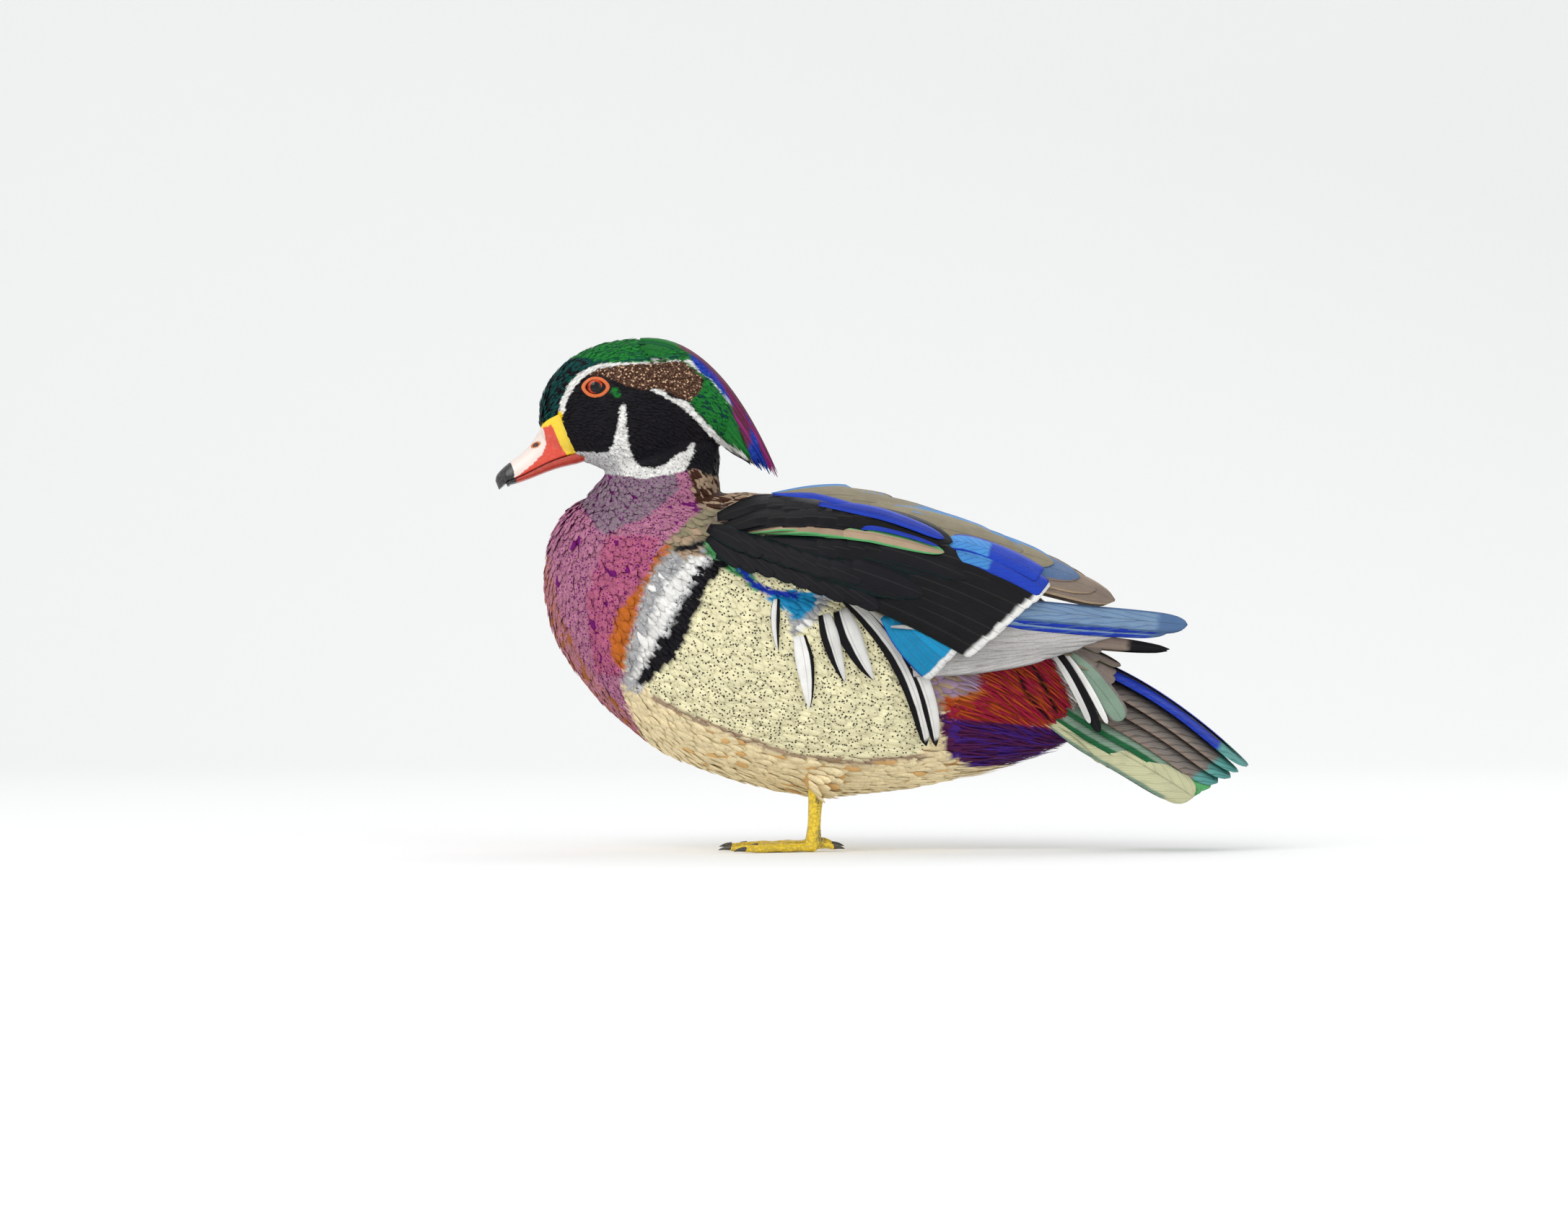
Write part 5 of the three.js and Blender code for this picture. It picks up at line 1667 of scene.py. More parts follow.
@dataclass
class Eyes:
    """The eyes and their lids."""

    opening: tuple[float, float] = (4.3, 3.5)

    def build(self, side: Side) -> tuple[Object, Object]:
        """Makes one eye and its ring of lids.

        Args:
            side: the bird's side.

        Returns:
            The eyeball and the lids.
        """
        flat = float(HEAD.side(np.array(EYE_AT[0]), np.array(EYE_AT[1])))
        centre = HEAD_AT + (EYE_AT[0], side * (flat - EYE_RADIUS * 0.86), EYE_AT[1])
        polar = np.linspace(0.02, np.pi - 0.02, 48)[:, None]
        turn = angles(64)
        x = np.sin(polar) * np.cos(turn)
        z = np.sin(polar) * np.sin(turn)
        y = np.cos(polar) + 0 * x
        ball = loft(np.stack([x, side * y, z], -1) * EYE_RADIUS + centre).tinted((0.5, 0.02, 0.01))
        out = np.append(np.tile(np.where(polar < np.pi / 2, np.sin(polar), 1.0), (1, 64)).ravel(), [0, 1.0])
        ball.across = np.column_stack([out, 0 * out])
        return to_object("eyeball_" + side.word, ball), to_object("eyelids_" + side.word, self.lids(side))

    def lids(self, side: Side) -> Shell:
        """Makes the lids: an almond ring with a rolled rim.

        Args:
            side: the bird's side.

        Returns:
            The shell.
        """
        profile = np.array(
            [(-0.15, 0.3), (0.15, 0.75), (0.6, 1.05), (1.2, 1.0), (1.7, 0.7), (2.2, 0.1), (1.7, -3), (0, -3)]
        )
        steps = np.linspace(0, len(profile) - 1, 22)
        wide, high = (Curve(np.arange(len(profile)), column)(steps) for column in profile.T)
        turn = angles(96)[:, None]
        corner = 1 + 0.1 * np.cos(turn) ** 8
        x = EYE_AT[0] + (self.opening[0] + wide * 0.72) * 1.06 * corner * np.cos(turn)
        z = EYE_AT[1] + (self.opening[1] + wide * 0.72) * np.sin(turn)
        flat = HEAD.side(np.array(EYE_AT[0]), np.array(EYE_AT[1]))
        y = mix(HEAD.side(x, z), flat, 0.35) + high * 0.8 - 0.3 + 0.12 * np.sin(turn * 24) * (high > 0.6)
        grid = np.stack([x, side * y, z], -1) + HEAD_AT
        a = np.arange(x.size).reshape(x.shape)
        b = np.roll(a, -1, 0)
        faces = triangles(a, b, np.roll(b, -1, 1), np.roll(a, -1, 1))
        points = grid.reshape(-1, 3)
        return Shell(points, outwards(points, faces, HEAD_AT)).tinted((0.70, 0.125, 0.006))


@dataclass(frozen=True)
class Lock:
    """A long feather of the crest, along four points in the head's frame. Down is 1 in the lowest row."""

    control: Array
    down: float
    start: float
    end: float
    layer: int

    def build(self, side: Side, rng: Rng) -> Shell:
        """Makes the feather.

        Args:
            side: the bird's side.
            rng: the source of small differences.

        Returns:
            The coloured shell.
        """
        out_y = math.sin(math.pi * min(1, (self.down + 0.14) * 0.62))
        jitter = rng.normal(0, 0.35)
        width = rng.uniform(1.5, 2.1)
        control, layer = self.control, self.layer

        def at(t: Array, w: Array) -> Pair:
            """Lays the vane along the path. Args: t; w. Returns: points and outward directions."""
            u = self.start + (self.end - self.start) * t
            k = [(1 - u) ** 3, 3 * u * (1 - u) ** 2, 3 * u * u * (1 - u), u**3]
            x, z = (sum(k[i] * control[i, c] for i in range(4)) for c in (0, 1))
            shares = list(enumerate(((1 - u) ** 2, 2 * u * (1 - u), u * u)))
            run = [sum(3 * m * (control[i + 1, c] - control[i, c]) for i, m in shares) for c in (0, 1)]
            along = unit(np.stack([run[0], 0 * u, run[1]], -1))
            flat = 1 - out_y
            out = [-along[..., 2] * flat, 0 * u + side * (0.35 + out_y), along[..., 0] * flat]
            out = unit(np.stack(out, -1))
            across = unit(np.cross(along, out))
            spread = mix(15.2, 1.3, np.maximum(u, 0) ** 0.8) * out_y * (1 - 0.04 * layer) + 0.3
            centre = np.stack([x, side * spread, z], -1) + HEAD_AT
            lift = 0.25 - 0.45 * layer + jitter * 0.4 + 0.5 * t
            return centre + across * (w * width + jitter)[..., None] + out * (lift * out_y)[..., None], out

        shell = plate(LOCK, 22, 3, 0.4, at)
        chance = np.append(rng.normal(0, 0.35, 2), rng.uniform(0.88, 1.12))
        shell.values = paint(shell.points, np.tile(chance, (len(shell.points), 1)))
        return shell


@dataclass
class Crest:
    """The long feathers that fall back from the crown, with the paths of the top and lowest rows."""

    rows: int = 26
    layers: int = 3
    top: Points = ((2.0, 66.0), (26.0, 68.0), (48.0, 46.0), (69.0, -1.5))
    low: Points = ((22.0, 34.0), (33.0, 27.0), (42.0, 15.0), (54.0, 7.0))

    def build(self) -> Object:
        """Makes the crest. Returns: the object."""
        rng = np.random.default_rng(11)
        top, low = np.array(self.top), np.array(self.low)
        shells = []
        for layer in range(self.layers):
            for k in range(self.rows):
                down = np.clip((k + rng.uniform(-0.3, 0.3)) / (self.rows - 1), 0, 1)
                start = layer * 0.17 + rng.uniform(-0.03, 0.03)
                end = rng.uniform(0.86 if layer else 0.93, 1.0)
                lock = Lock(top + (low - top) * down, down, start, end, layer)
                shells += [lock.build(side, rng) for side in Side]
        return shells_piece("crest_locks", shells)


class Wing:
    """A folded wing's large feathers."""

    def quills(self) -> list[Quill]:
        """Lists the feathers, from the lowest layer up. Returns: the feathers."""
        grey = Dress(Hue.PALE_GREY, Hue.GREY, edge_from=0.8, fleck=Hue.BROWN_GREY, amount=0.2, rough=0.55,
            bars=5, barred=0.35)
        blue = Dress(Hue.STEEL, Hue.COBALT, Hue.SLATE_BLUE, edge_from=0.8, tip_from=0.93, metal=0.2,
            bias=-0.12, fleck=Hue.SLATE_BLUE, bars=8, barred=0.6)
        upper_blue = Dress(Hue.STEEL, Hue.SLATE_BLUE, Hue.SLATE_BLUE, edge_from=0.85, tip_from=0.9,
            metal=0.2, fleck=Hue.SLATE_BLUE, bars=8, barred=0.6)
        black_tip = Dress(Hue.BROWN_GREY, None, Hue.BLACK, tip_from=0.86, rough=0.5)
        speculum = Dress(Hue.TURQUOISE, Hue.ROYAL, Hue.WHITE, edge_from=0.93, tip_from=0.92, metal=0.4,
            rough=0.34, fleck=Hue.SKY, amount=0.2)
        dark = Dress(Hue.BLACK, Hue.INK_GREEN, Hue.WHITE, edge_from=0.94, tip_from=0.965, metal=0.1,
            rough=0.38)
        royal = Dress(Hue.SKY, Hue.COBALT, Hue.ROYAL, edge_from=0.85, tip_from=0.64, metal=0.35, rough=0.36,
            fleck=Hue.COBALT, bars=16, barred=0.35)
        brown = Dress(Hue.BROWN_GREY, Hue.TAN, edge_from=0.9, fleck=Hue.OLIVE, amount=0.4, rough=0.55,
            bars=6, barred=0.25)
        slate = Dress(Hue.SLATE_BLUE, Hue.BROWN_GREY, edge_from=0.88, fleck=Hue.BROWN_GREY, amount=0.4,
            rough=0.5)
        olive = Dress(Hue.OLIVE, Hue.SKY, edge_from=0.9, bias=0.1, fleck=Hue.BROWN_GREY, amount=0.4,
            rough=0.55)
        lobe = Dress(Hue.BLACK, Hue.SOFT_BLACK, edge_from=0.85, metal=0.1, rough=0.36)
        coal = Dress(Hue.SOFT_BLACK, Hue.INK_GREEN, edge_from=0.92, metal=0.1, rough=0.4)
        steel = Dress(Hue.TAN, Hue.MEADOW, edge_from=0.55, bias=0.25, rough=0.55)
        streak = Dress(Hue.COBALT, Hue.ROYAL, edge_from=0.6, metal=0.4, rough=0.34)
        return [
            Quill((35, 110), (171, 95), 3.4, black_tip, 0.5, (-4, -3.2)),
            *row(6, Quill((47, 84.5), (112, 92.5), 3.4, grey, -0.6, (-2.5, -2.4), BROAD),
                Quill((42, 108), (152, 105.5), 4.6, grey, -0.8, (-3, -1.2), BROAD)),
            Quill((37, 118), (170, 105.6), 5.0, blue, -1.8, (-3, -0.6), ROUND),
            Quill((37, 120), (174, 106.8), 5.0, blue, -1.2, (-3, 0.0), ROUND),
            Quill((38, 122), (178, 107.8), 5.0, upper_blue, -0.6, (-3, 0.4), ROUND),
            *row(6, Quill((33, 112), (56.5, 84), 4.0, speculum, -1.6, (-2, 0.3), SQUARE),
                Quill((43, 120), (71, 100), 5.0, speculum, -2, (-2, 1.3), SQUARE)),
            Quill((36, 107), (60, 105), 1.1, grey, 0.4, (0.9, 1.75)),
            *row(8, Quill((0, 129), (77, 97), 5.2, dark, 2.5, (-2, 2.0), SQUARE, 0.54),
                Quill((16, 147), (107, 121.5), 5.8, dark, 3.5, (-2, 4.4), SQUARE, 0.54)),
            *row(2, Quill((34, 144), (107, 123), 4.4, royal, 4.5, (-2, 5.0), SQUARE, 0.5),
                Quill((36, 147), (105, 128), 3.6, royal, 5.0, (-2, 5.6), SQUARE, 0.5)),
            Quill((16, 151), (142, 118), 7.6, brown, 3.6, (-2, 1.6), BROAD),
            Quill((12, 153), (133, 123), 7.0, brown, 3.4, (-2, 2.4), BROAD),
            Quill((8, 155), (125, 128.5), 6.6, slate, 3.2, (-2, 3.0), BROAD),
            Quill((2, 158), (112, 134), 6.4, olive, 3.0, (-2, 3.6), BROAD),
            *row(5, Quill((-2, 160), (98, 140), 6.0, olive, 3.0, (-2, 3.8), BROAD),
                Quill((-20, 168), (50, 161), 6.0, olive, 2.0, (-1, 2.6), BROAD)),
            *row(7, Quill((-46, 142), (18, 124.5), 5.2, coal, 1.0, (-1.5, 1.2), BROAD),
                Quill((-6, 140), (50, 121), 6.0, coal, 1.0, (-1.5, 3.4), BROAD)),
            *row(6, Quill((-34, 147), (34, 133), 4.6, coal, 2.5, (-1.5, 2.4), BROAD),
                Quill((0, 148), (70, 129), 5.0, coal, 3.0, (-1.5, 4.4), BROAD)),
            *row(5, Quill((-34, 152), (6, 151.5), 3.0, steel, 1.5, (-1, 3.4), BROAD),
                Quill((-4, 152), (60, 139.5), 3.4, steel, 1.5, (-1, 5.2), BROAD)),
            *row(8, Quill((-46, 152), (-6, 157), 3.6, lobe, 1.5, (-1, 3.6), BROAD),
                Quill((-4, 158), (63, 143.5), 4.6, lobe, 3.5, (-1, 6.0), BROAD)),
            *row(7, Quill((-46, 159), (-6, 163), 4.4, lobe, 1.5, (-1, 3.0), BROAD),
                Quill((-14, 158.5), (53, 145), 4.6, lobe, 3.0, (-1, 5.4), BROAD)),
            Quill((-20, 166.5), (20, 158.5), 1.2, streak, 0.8, (3.2, 6.0)),
            Quill((2, 160.5), (59, 144), 2.4, streak, 2.4, (5.2, 7.0)),
            Quill((2, 152), (57, 141.5), 0.9, streak, 2.6, (0, 6.8)),
            *row(9, Quill((-50, 150), (-34, 135), 4.4, coal, 0.5, (-1, 1.2), BROAD),
                Quill((6, 130), (30, 115.5), 4.6, coal, 0.5, (-1, 2.2), BROAD)),
            *row(8, Quill((-50, 154), (-30, 142), 4.4, coal, 0.5, (-1, 2.2), BROAD),
                Quill((-4, 138), (22, 127), 4.6, coal, 0.5, (-1, 3.4), BROAD)),
        ]  # fmt: skip

    def build(self, side: Side) -> Object:
        """Makes the wing. Args: side. Returns: the piece."""
        return quill_piece("wing_quills_" + side.word, self.quills(), WING, side, 21 + (side > 0))


@dataclass(frozen=True)
class Vane:
    """A feather of the tail. Tilt is how far its outer edge hangs, in radians; arch, how far it bends up."""

    root: Place
    tip: Place
    half: float
    tilt: float
    drop: float
    arch: float
    dress: Dress

    def build(self, side: Side, rng: Rng) -> Shell:
        """Makes the feather.

        Args:
            side: the bird's side.
            rng: the source of small differences.

        Returns:
            The coloured shell.
        """
        a, c = np.array(self.root), np.array(self.tip) + rng.normal(0, 0.5, 3) * (1, 0.6, 0.4)
        b = (a + c) / 2 + (0, 0, self.arch)
        wave = rng.uniform(*PHASES)
        half = self.half

        def at(t: Array, w: Array) -> Pair:
            """Lays the vane along its bend. Args: t; w. Returns: points and outward directions."""
            u = t[..., None]
            p = a * (1 - u) ** 2 + b * 2 * u * (1 - u) + c * u * u
            along = unit((b - a) * 2 * (1 - u) + (c - b) * 2 * u)
            across = np.array((0, math.cos(self.tilt), -math.sin(self.tilt))) + 0 * p
            across = unit(across - along * (across * along).sum(-1, keepdims=True))
            out = unit(np.cross(along, across))
            out = np.where(out[..., 2:] < 0, -out, out)
            rise = -self.drop * np.minimum(1, t * 3) - 0.021 * half * half * w * w
            rise = rise + 0.15 * np.sin(wave + 8 * t) * w
            p = p + across * (w * half)[..., None] + out * rise[..., None]
            return p * (1, side, 1), out * (1, side, 1)

        return self.dress.apply(plate(ROUND, 34, 7, 0.5, at), rng)


class Tail:
    """The tail's fan, and the long feathers and stripes round its root."""

    def vanes(self) -> list[Vane]:
        """Lists the feathers of one side. Returns: the feathers."""
        top = Dress(Hue.TAIL_GREY, Hue.COBALT, Hue.SEA, edge_from=0.45, tip_from=0.88, metal=0.15,
            bias=0.25, bars=18, barred=0.3)
        middle = Dress(Hue.TAIL_GREY, Hue.BROWN_GREY, Hue.SEA, edge_from=0.85, tip_from=0.91, metal=0.1,
            bars=18, barred=0.4)
        green = Dress(Hue.TAIL_GREEN, Hue.DEEP_GREEN, Hue.MEADOW, edge_from=0.75, tip_from=0.82, metal=0.1,
            bars=14, barred=0.15)
        low = Dress(Hue.BEIGE, Hue.TAIL_GREEN, Hue.BEIGE, edge_from=0.88, tip_from=0.88, rough=0.6, bars=10,
            barred=0.12)
        cover = Dress(Hue.BROWN_GREY, Hue.OLIVE, edge_from=0.88, fleck=Hue.TAIL_GREY, amount=0.3, bars=8,
            barred=0.3)
        beside = Dress(Hue.TAIL_GREEN, Hue.TAIL_GREY, edge_from=0.8, fleck=Hue.GREY, amount=0.3, rough=0.6)
        white, black = Dress(Hue.WHITE, rough=0.6), Dress(Hue.BLACK, rough=0.5)
        found = []
        fan = (top, middle, middle, middle, green, green, low)
        for pair, dress in enumerate(fan):
            out = pair / (len(fan) - 1)
            root = (112 - 3 * out, 2.5 + 12 * out, 97 - 31 * out)
            tip = (207 - 27 * out, 5.5 + 29 * out, 40 - 12 * out)
            tilt, arch = mix(0.3, 1.1, out), mix(19, 5, out)
            found.append(Vane(root, tip, mix(10.5, 9, out), tilt, pair * 0.6, arch, dress))
        for k in range(9):
            out, step = (k % 3) / 2, k // 3
            root = (104 + 5 * step, 2 + 11 * out, 107 - 7 * out - 4 * step)
            tip = (128 + 9 * step - 4 * out, 3 + 14 * out, 100 - 6.5 * step - 7 * out)
            found.append(Vane(root, tip, 6.5, 0.35 + 0.3 * out, -2.2 + 0.5 * step, 4, cover))
            root = (112, 2.5 + 9 * out, 58 + 3 * out)
            tip = (166 - 12 * step - 6 * out, 4 + 12 * out, 30.5 + 4 * step + 3 * out)
            found.append(Vane(root, tip, 6.0, -0.15, -0.4 * step, 4, low if k else green))
        for root, tip, half, dress in (
            ((120, 19.5, 94), (147, 23.5, 62), 5.5, beside),
            ((118.5, 20.4, 95), (139, 24.4, 61), 1.5, white),
            ((115.5, 20.8, 95), (135.5, 24.8, 57), 2.5, black),
            ((112.5, 21.2, 95), (131, 25, 61), 1.5, white),
        ):
            found.append(Vane(root, tip, half, -math.pi / 2, 0.0, 5, dress))
        return found

    def build(self) -> Object:
        """Makes the tail. Returns: the piece."""
        rng = np.random.default_rng(31)
        return shells_piece("tail_quills", [one.build(side, rng) for side in Side for one in self.vanes()])


class Flank:
    """The large barred feathers of the sides, over the small ones."""

    def quills(self) -> list[Quill]:
        """Lists the feathers. Returns: the feathers."""
        first = Dress(Hue.WHITE, Hue.BLACK, edge_from=0.6, bias=0.35, rough=0.6)
        right = Dress(Hue.WHITE, Hue.BLACK, edge_from=0.85, bias=0.2, rough=0.6)
        left = Dress(Hue.WHITE, Hue.BLACK, edge_from=0.8, bias=-0.5, rough=0.6)
        long = Dress(Hue.WHITE, Hue.BLACK, Hue.BLACK, edge_from=0.84, tip_from=0.97, bias=-0.45, rough=0.6)
        return [
            Quill((-17.5, 120), (-17, 95), 2.2, first, -1, (-0.8, 0.7), LOCK),
            Quill((-7, 103), (-1.8, 69), 4.3, right, 0.8, (-0.8, 0.9), LOCK),
            Quill((4.5, 113), (14.4, 80), 4.2, left, -0.6, (-0.8, 0.9), LOCK),
            Quill((12.5, 115), (27.5, 81.5), 5.4, left, -1.4, (-0.8, 1.0), LOCK),
            Quill((12, 122), (53, 51.5), 4.6, long, 8.5, (-0.8, 1.2)),
            Quill((20, 120), (57.5, 51.5), 4.0, long, 8.5, (-0.8, 1.6)),
        ]  # fmt: skip

    def build(self, side: Side) -> Object:
        """Makes the feathers of one side. Args: side. Returns: the piece."""
        return quill_piece("flank_quills_" + side.word, self.quills(), BODY, side, 41)


@dataclass
class Leg:
    """A leg: shank, webbed foot and claws. The inner, middle and outer toe have their turn and length."""

    side: Side
    toes: Points = ((27.0, 31.0), (2.0, 40.0), (-24.0, 36.0))
    hind: float = 10.0
    hind_turn: float = -20.0
    claw: float = 5.5
    shank: Points = (
        (2.2, -0.5, 3.5, 3.0), (5, -0.3, 3.6, 3.1), (8.6, 0, 3.3, 2.9), (12, 0.1, 3, 2.5),
        (19, 0.4, 3.1, 2.5), (24.5, 0.8, 3.5, 2.8), (30, 1.3, 4.2, 3.5),
    )  # fmt: skip

    def point(self, length: float, turn: float, z: float) -> Place:
        """Finds a place on the foot. Args: length, from the ankle; turn, inwards; z. Returns: the place."""
        angle = math.radians(turn)
        return (-length * math.cos(angle), self.side * (LEG_SPREAD - length * math.sin(angle)), z)

    def toe(self, turn: float, length: float) -> Shell:
        """Makes one toe.

        Args:
            turn: degrees towards the bird's middle plane.
            length: its length.

        Returns:
            The shell.
        """
        shares = (0, 0.16, 0.3, 0.38, 0.52, 0.66, 0.74, 0.9, 1)
        radii = (2.9, 2.15, 2.0, 2.35, 1.75, 1.75, 2.0, 1.5, 1.2)
        path, r = fine([self.point(length * t, turn, mix(2.35, 1.45, t)) for t in shares], radii, 60)
        return limb(path, r, 24, 0.85)

    def build(self) -> tuple[Object, Object]:
        """Makes the leg and its claws. Returns: the leg and the claws."""
        parts = [self.toe(*toe) for toe in self.toes]
        back = [self.point(0, 0, 3.6), self.point(-6, self.hind_turn, 3.4)]
        back.append(self.point(-self.hind, self.hind_turn, 2))
        parts.append(limb(*fine(back, (2.4, 1.7, 1.2), 24)))
        heights = np.linspace(2.2, 30, 60)[:, None]
        x, long, wide = (line(heights) for line in curves(self.shank, 1, 2, 3))
        angle = angles(48)
        rings = [x + long * np.cos(angle), self.side * LEG_SPREAD + wide * np.sin(angle), heights + 0 * angle]
        parts += [loft(np.stack(rings, -1)), self.web()]
        leg = fused("leg_" + self.side.word, parts, 0.42, 4)
        p = read_points(leg.data)
        p[:, 2] = np.maximum(p[:, 2], 0.0)
        leg.data.vertices.foreach_set("co", ((p + (SHIFT, 0, 0)) * MM).astype(np.float32).ravel())
        write_values(leg.data, {"tint": self.tint(p)})
        claws = [self.nail(length, turn, 1.5, 1) for turn, length in self.toes]
        claws.append(self.nail(-self.hind, self.hind_turn, 2.0, -1))
        return leg, to_object("claws_" + self.side.word, Shell.join(claws).tinted((0.035, 0.028, 0.02)))

    @staticmethod
    def tint(p: Array) -> Array:
        """Colours the leg yellow, with dusk behind, on the joints and on the web.

        Args:
            p: places.

        Returns:
            The colours.
        """
        x, z = p[:, 0], p[:, 2]
        rng = np.random.default_rng(3)
        dusk = np.clip((x - 1.2) / 3, 0, 1) * (z > 5) + (z < 2.6) * (x < -6) * 0.5
        heel = np.exp(-(((x - 3) / 2.2) ** 2) - ((z - 7) / 5.0) ** 2) + 0.7 * np.exp(-(((z - 26) / 5) ** 2))
        dusk = np.where(rng.random(len(p)) < 0.75 * heel * (x > 0.5), 0.85, 0.25 * dusk)
        dusk = np.clip(dusk + rng.normal(0, 0.03, len(p)), 0, 0.85)[:, None]
        return np.array(Hue.YELLOW.value) * (1 - dusk) + np.array((0.06, 0.05, 0.03)) * dusk

    def nail(self, length: float, turn: float, z: float, way: int) -> Shell:
        """Makes one claw.

        Args:
            length: where it starts.
            turn: degrees towards the bird's middle plane.
            z: its height.
            way: 1 forward and -1 back.

        Returns:
            The shell.
        """
        shares = (-0.1, 0.35, 0.7, 1)
        reach = way * self.claw
        path = [self.point(length + reach * t, turn, z + 0.35 - 1.0 * max(t, 0) ** 2) for t in shares]
        return limb(*fine(path, (1.2, 0.95, 0.6, 0.12), 30), 16)

    def web(self) -> Shell:
        """Makes the skin between the toes. Returns: the closed shell."""
        rim = []
        for i, (turn, length) in enumerate(self.toes):
            if i:
                before, other = self.toes[i - 1]
                for t in np.linspace(0.1, 0.9, 9):
                    reach = mix(other, length, t) * (0.95 - 0.26 * math.sin(math.pi * t))
                    rim.append(self.point(reach, mix(before, turn, t), 0))
            rim.append(self.point(length * 0.95, turn, 0))
        rim.append((1.5, self.side * LEG_SPREAD, 0))
        edge = np.array(rim)
        centre = edge.mean(0)
        levels = ((0.05, 1.75), (0.6, 1.7), (1.0, 1.5), (1.0, 0.7), (0.6, 0.6), (0.05, 0.6))
        return loft(np.array([centre + (edge - centre) * share + (0, 0, z) for share, z in levels]))


# The set


class Studio:
    """Camera, light and floor."""

    def build(self) -> None:
        """Sets up the picture's view in soft light."""
        scene = bpy.context.scene
        camera = linked("camera", bpy.data.cameras.new("camera"))
        camera.data.lens = 144.0
        camera.data.sensor_width = 36.0
        camera.location = ((-14.3 + SHIFT) * MM, -3.0, 0.112)
        camera.rotation_euler = (math.pi / 2, 0, 0)
        camera.data.clip_start, camera.data.clip_end = 0.1, 60
        scene.camera = camera
        self.floor()
        self.lamp("key", (-1.1, -1.5, 1.7), 1.4, 21.0)
        self.lamp("fill", (1.5, -1.6, 0.9), 1.6, 6.0)
        self.lamp("rim", (0.6, 1.3, 1.6), 1.2, 6.0)
        world = bpy.data.worlds.new("air")
        world.use_nodes = True
        sky = world.node_tree.nodes["Background"].inputs
        sky["Color"].default_value = (0.98, 0.99, 1.0, 1)
        sky["Strength"].default_value = 0.84
        scene.world = world
        scene.view_settings.view_transform = "Standard"

    @staticmethod
    def floor() -> None:
        """Makes the pale floor that sweeps up behind."""
        start, bend = 1.6, 1.2
        turns = np.linspace(0, math.pi / 2, 24)
        arc = [(start + bend * math.sin(a), bend - bend * math.cos(a)) for a in turns]
        profile = [(-6.0, 0.0), *arc, (2.8, 6.0)]
        points = [(x, y, z) for y, z in profile for x in (-8.0, 8.0)]
        faces = [(2 * i, 2 * i + 1, 2 * i + 3, 2 * i + 2) for i in range(len(profile) - 1)]
        mesh = bpy.data.meshes.new("floor")
        mesh.from_pydata(points, [], faces)
        mesh.shade_smooth()
        made = linked("floor", mesh)
        paper, g, shader = new_material("floor_paper")
        grain = g.noise(g.place(), 40.0, 2)
        colour = g.blend(grain * 0.06, (0.91, 0.91, 0.905), (0.85, 0.85, 0.85))
        g.feed(shader, {"Base Color": colour, "Roughness": 0.9})
        mesh.materials.append(paper)

    @staticmethod
    def lamp(name: str, place: Place, size: float, power: float) -> None:
        """Adds a soft lamp that faces the bird.

        Args:
            name: its name.
            place: where it is, in metres.
            size: its side.
            power: its strength in watts.
        """
        made = linked(name, bpy.data.lights.new(name, "AREA"))
        made.data.size = size
        made.data.energy = power
        made.location = place
        made.rotation_euler = (Vector((0, 0, 0.12)) - Vector(place)).to_track_quat("-Z", "Y").to_euler()


# Which feathers grow where

BARE = -1  # where nothing grows
LID_REACH = 5.0
SHANK_TOP = 26  # the height below which the shank is bare


def clear_of_eyes(p: Array) -> Array:
    """Tells which places are outside the lids. Args: p. Returns: True where feathers may grow."""
    dx = (p[:, 0] - HEAD_AT[0] - EYE_AT[0]) / 1.3
    return np.hypot(dx, p[:, 2] - HEAD_AT[2] - EYE_AT[1]) > LID_REACH


def clear_of_bill(p: Array) -> Array:
    """Tells which places are behind the bill's base. Args: p. Returns: True where feathers may grow."""
    forward, up = Bill().local(p)
    top = np.interp(forward, (0, 5, 9, 13.5), (18.6, 18.2, 16.8, 13.4))
    return (forward < 0.4) | (up > top - 0.3) | (up < -4.6)


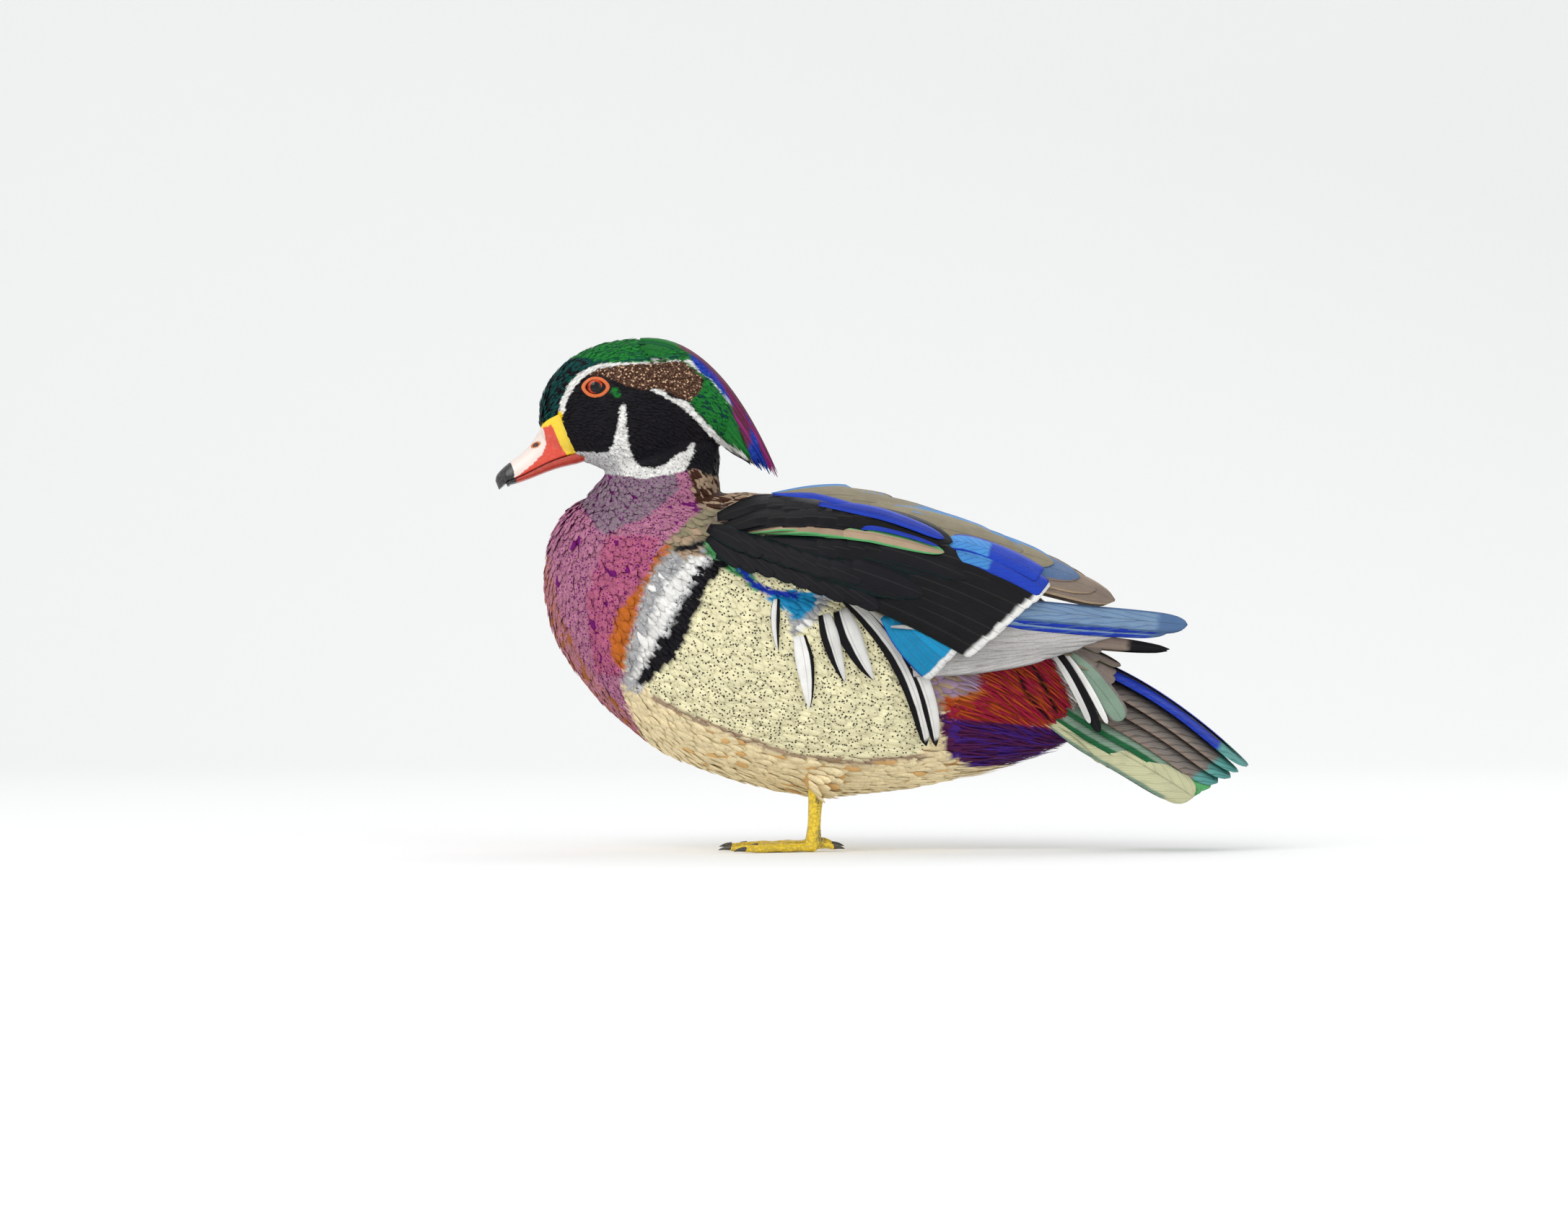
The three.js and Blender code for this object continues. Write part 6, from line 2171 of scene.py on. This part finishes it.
def tract_of(p: Array) -> Array:
    """Sorts places into tracts.

    Args:
        p: places.

    Returns:
        The tract at each place, or BARE where nothing grows.
    """
    x, z = p[:, 0], p[:, 2]
    head = is_head(p)
    back = z > np.interp(x, (-50, 0, 50, 80, 110, 130), (160, 152, 130, 110, 100, 94))
    front = x < np.interp(z, (40, 65, 105, 130, 157, 180), (-70, -86, -92, -82, -62, -56))
    found = np.full(len(p), int(Tract.FLANK))
    for where, tract in (
        (z < np.interp(x, (-90, -60, 50, 130), (60, 52, 46, 50)), Tract.BELLY),
        (back, Tract.BACK),
        (front, Tract.BREAST),
        (front & (z > 158), Tract.NECK),
        ((x > -60) & (x < -34) & (z > 166), Tract.NECK),
        ((x > 60) & ~back, Tract.VENT),
        (head, Tract.HEAD),
        (head & ~(clear_of_eyes(p) & clear_of_bill(p)), BARE),
        (z < SHANK_TOP, BARE),
    ):
        found[where] = tract
    return found


def main() -> None:
    """Builds the visual model."""
    logging.basicConfig(level=logging.INFO)
    soft = Plumage("soft_plumage", bump=0.2, barbs=0.05, gleam=0.1).material()
    stiff = Plumage("stiff_plumage", bump=0.4, barbs=0.1, gleam=0.16).material()
    horn = Hide("bill_horn", 0.34, 0.3, 0.12, 0.05, 260.0).material()
    scaly = Hide("leg_scales", 0.42, 0.15, 0.5, 0.3, 620.0, True).material()
    nail = Hide("claw_horn", 0.3, 0.3, 0.15, 0.1, 500.0).material()
    lid_skin = Hide("lid_skin", 0.4, 0.2, 0.4, 0.12, 1500.0, True).material()

    skin_maker = Skin()
    skin = skin_maker.build()
    log.info("skin: %d faces", len(skin.data.polygons))
    plumes = Plumes(skin, soft)
    for tract in Tract:
        for side in Side:
            plumes.grow(
                f"{tract.name.lower()}_feathers_{side.word}",
                tract,
                lambda p, t=tract, s=side: (tract_of(p) == t) & (p[:, 1] * s >= 0),
                60 + tract * 2 + (side > 0),
            )
    skin_maker.dress(skin, soft)

    upper, lower = Bill().build()
    finish_piece(upper, horn, "bill_red", "bill_upper")
    finish_piece(lower, horn, "bill_under", "bill_lower")
    glass = EyeGlass().material()
    for side in Side:
        name = side.word
        ball, lids = Eyes().build(side)
        finish_piece(ball, glass, "eye", "eye_" + name)
        finish_piece(lids, lid_skin, "head_plumage")
        finish_piece(Wing().build(side), stiff, "wing_plumage", "wing_" + name)
        finish_piece(Flank().build(side), stiff, "flank_plumage")
        leg, claws = Leg(side).build()
        finish_piece(leg, scaly, "leg_skin", "tarsus_" + name, "foot_" + name)
        names = [f"claw_{name}_{toe}" for toe in ("inner", "middle", "outer", "hind")]
        finish_piece(claws, nail, "claw_horn", *names)
    finish_piece(Crest().build(), stiff, "crest_plumage", "crest")
    finish_piece(Tail().build(), stiff, "tail_plumage", "tail")
    Studio().build()


if __name__ == "__main__":
    main()
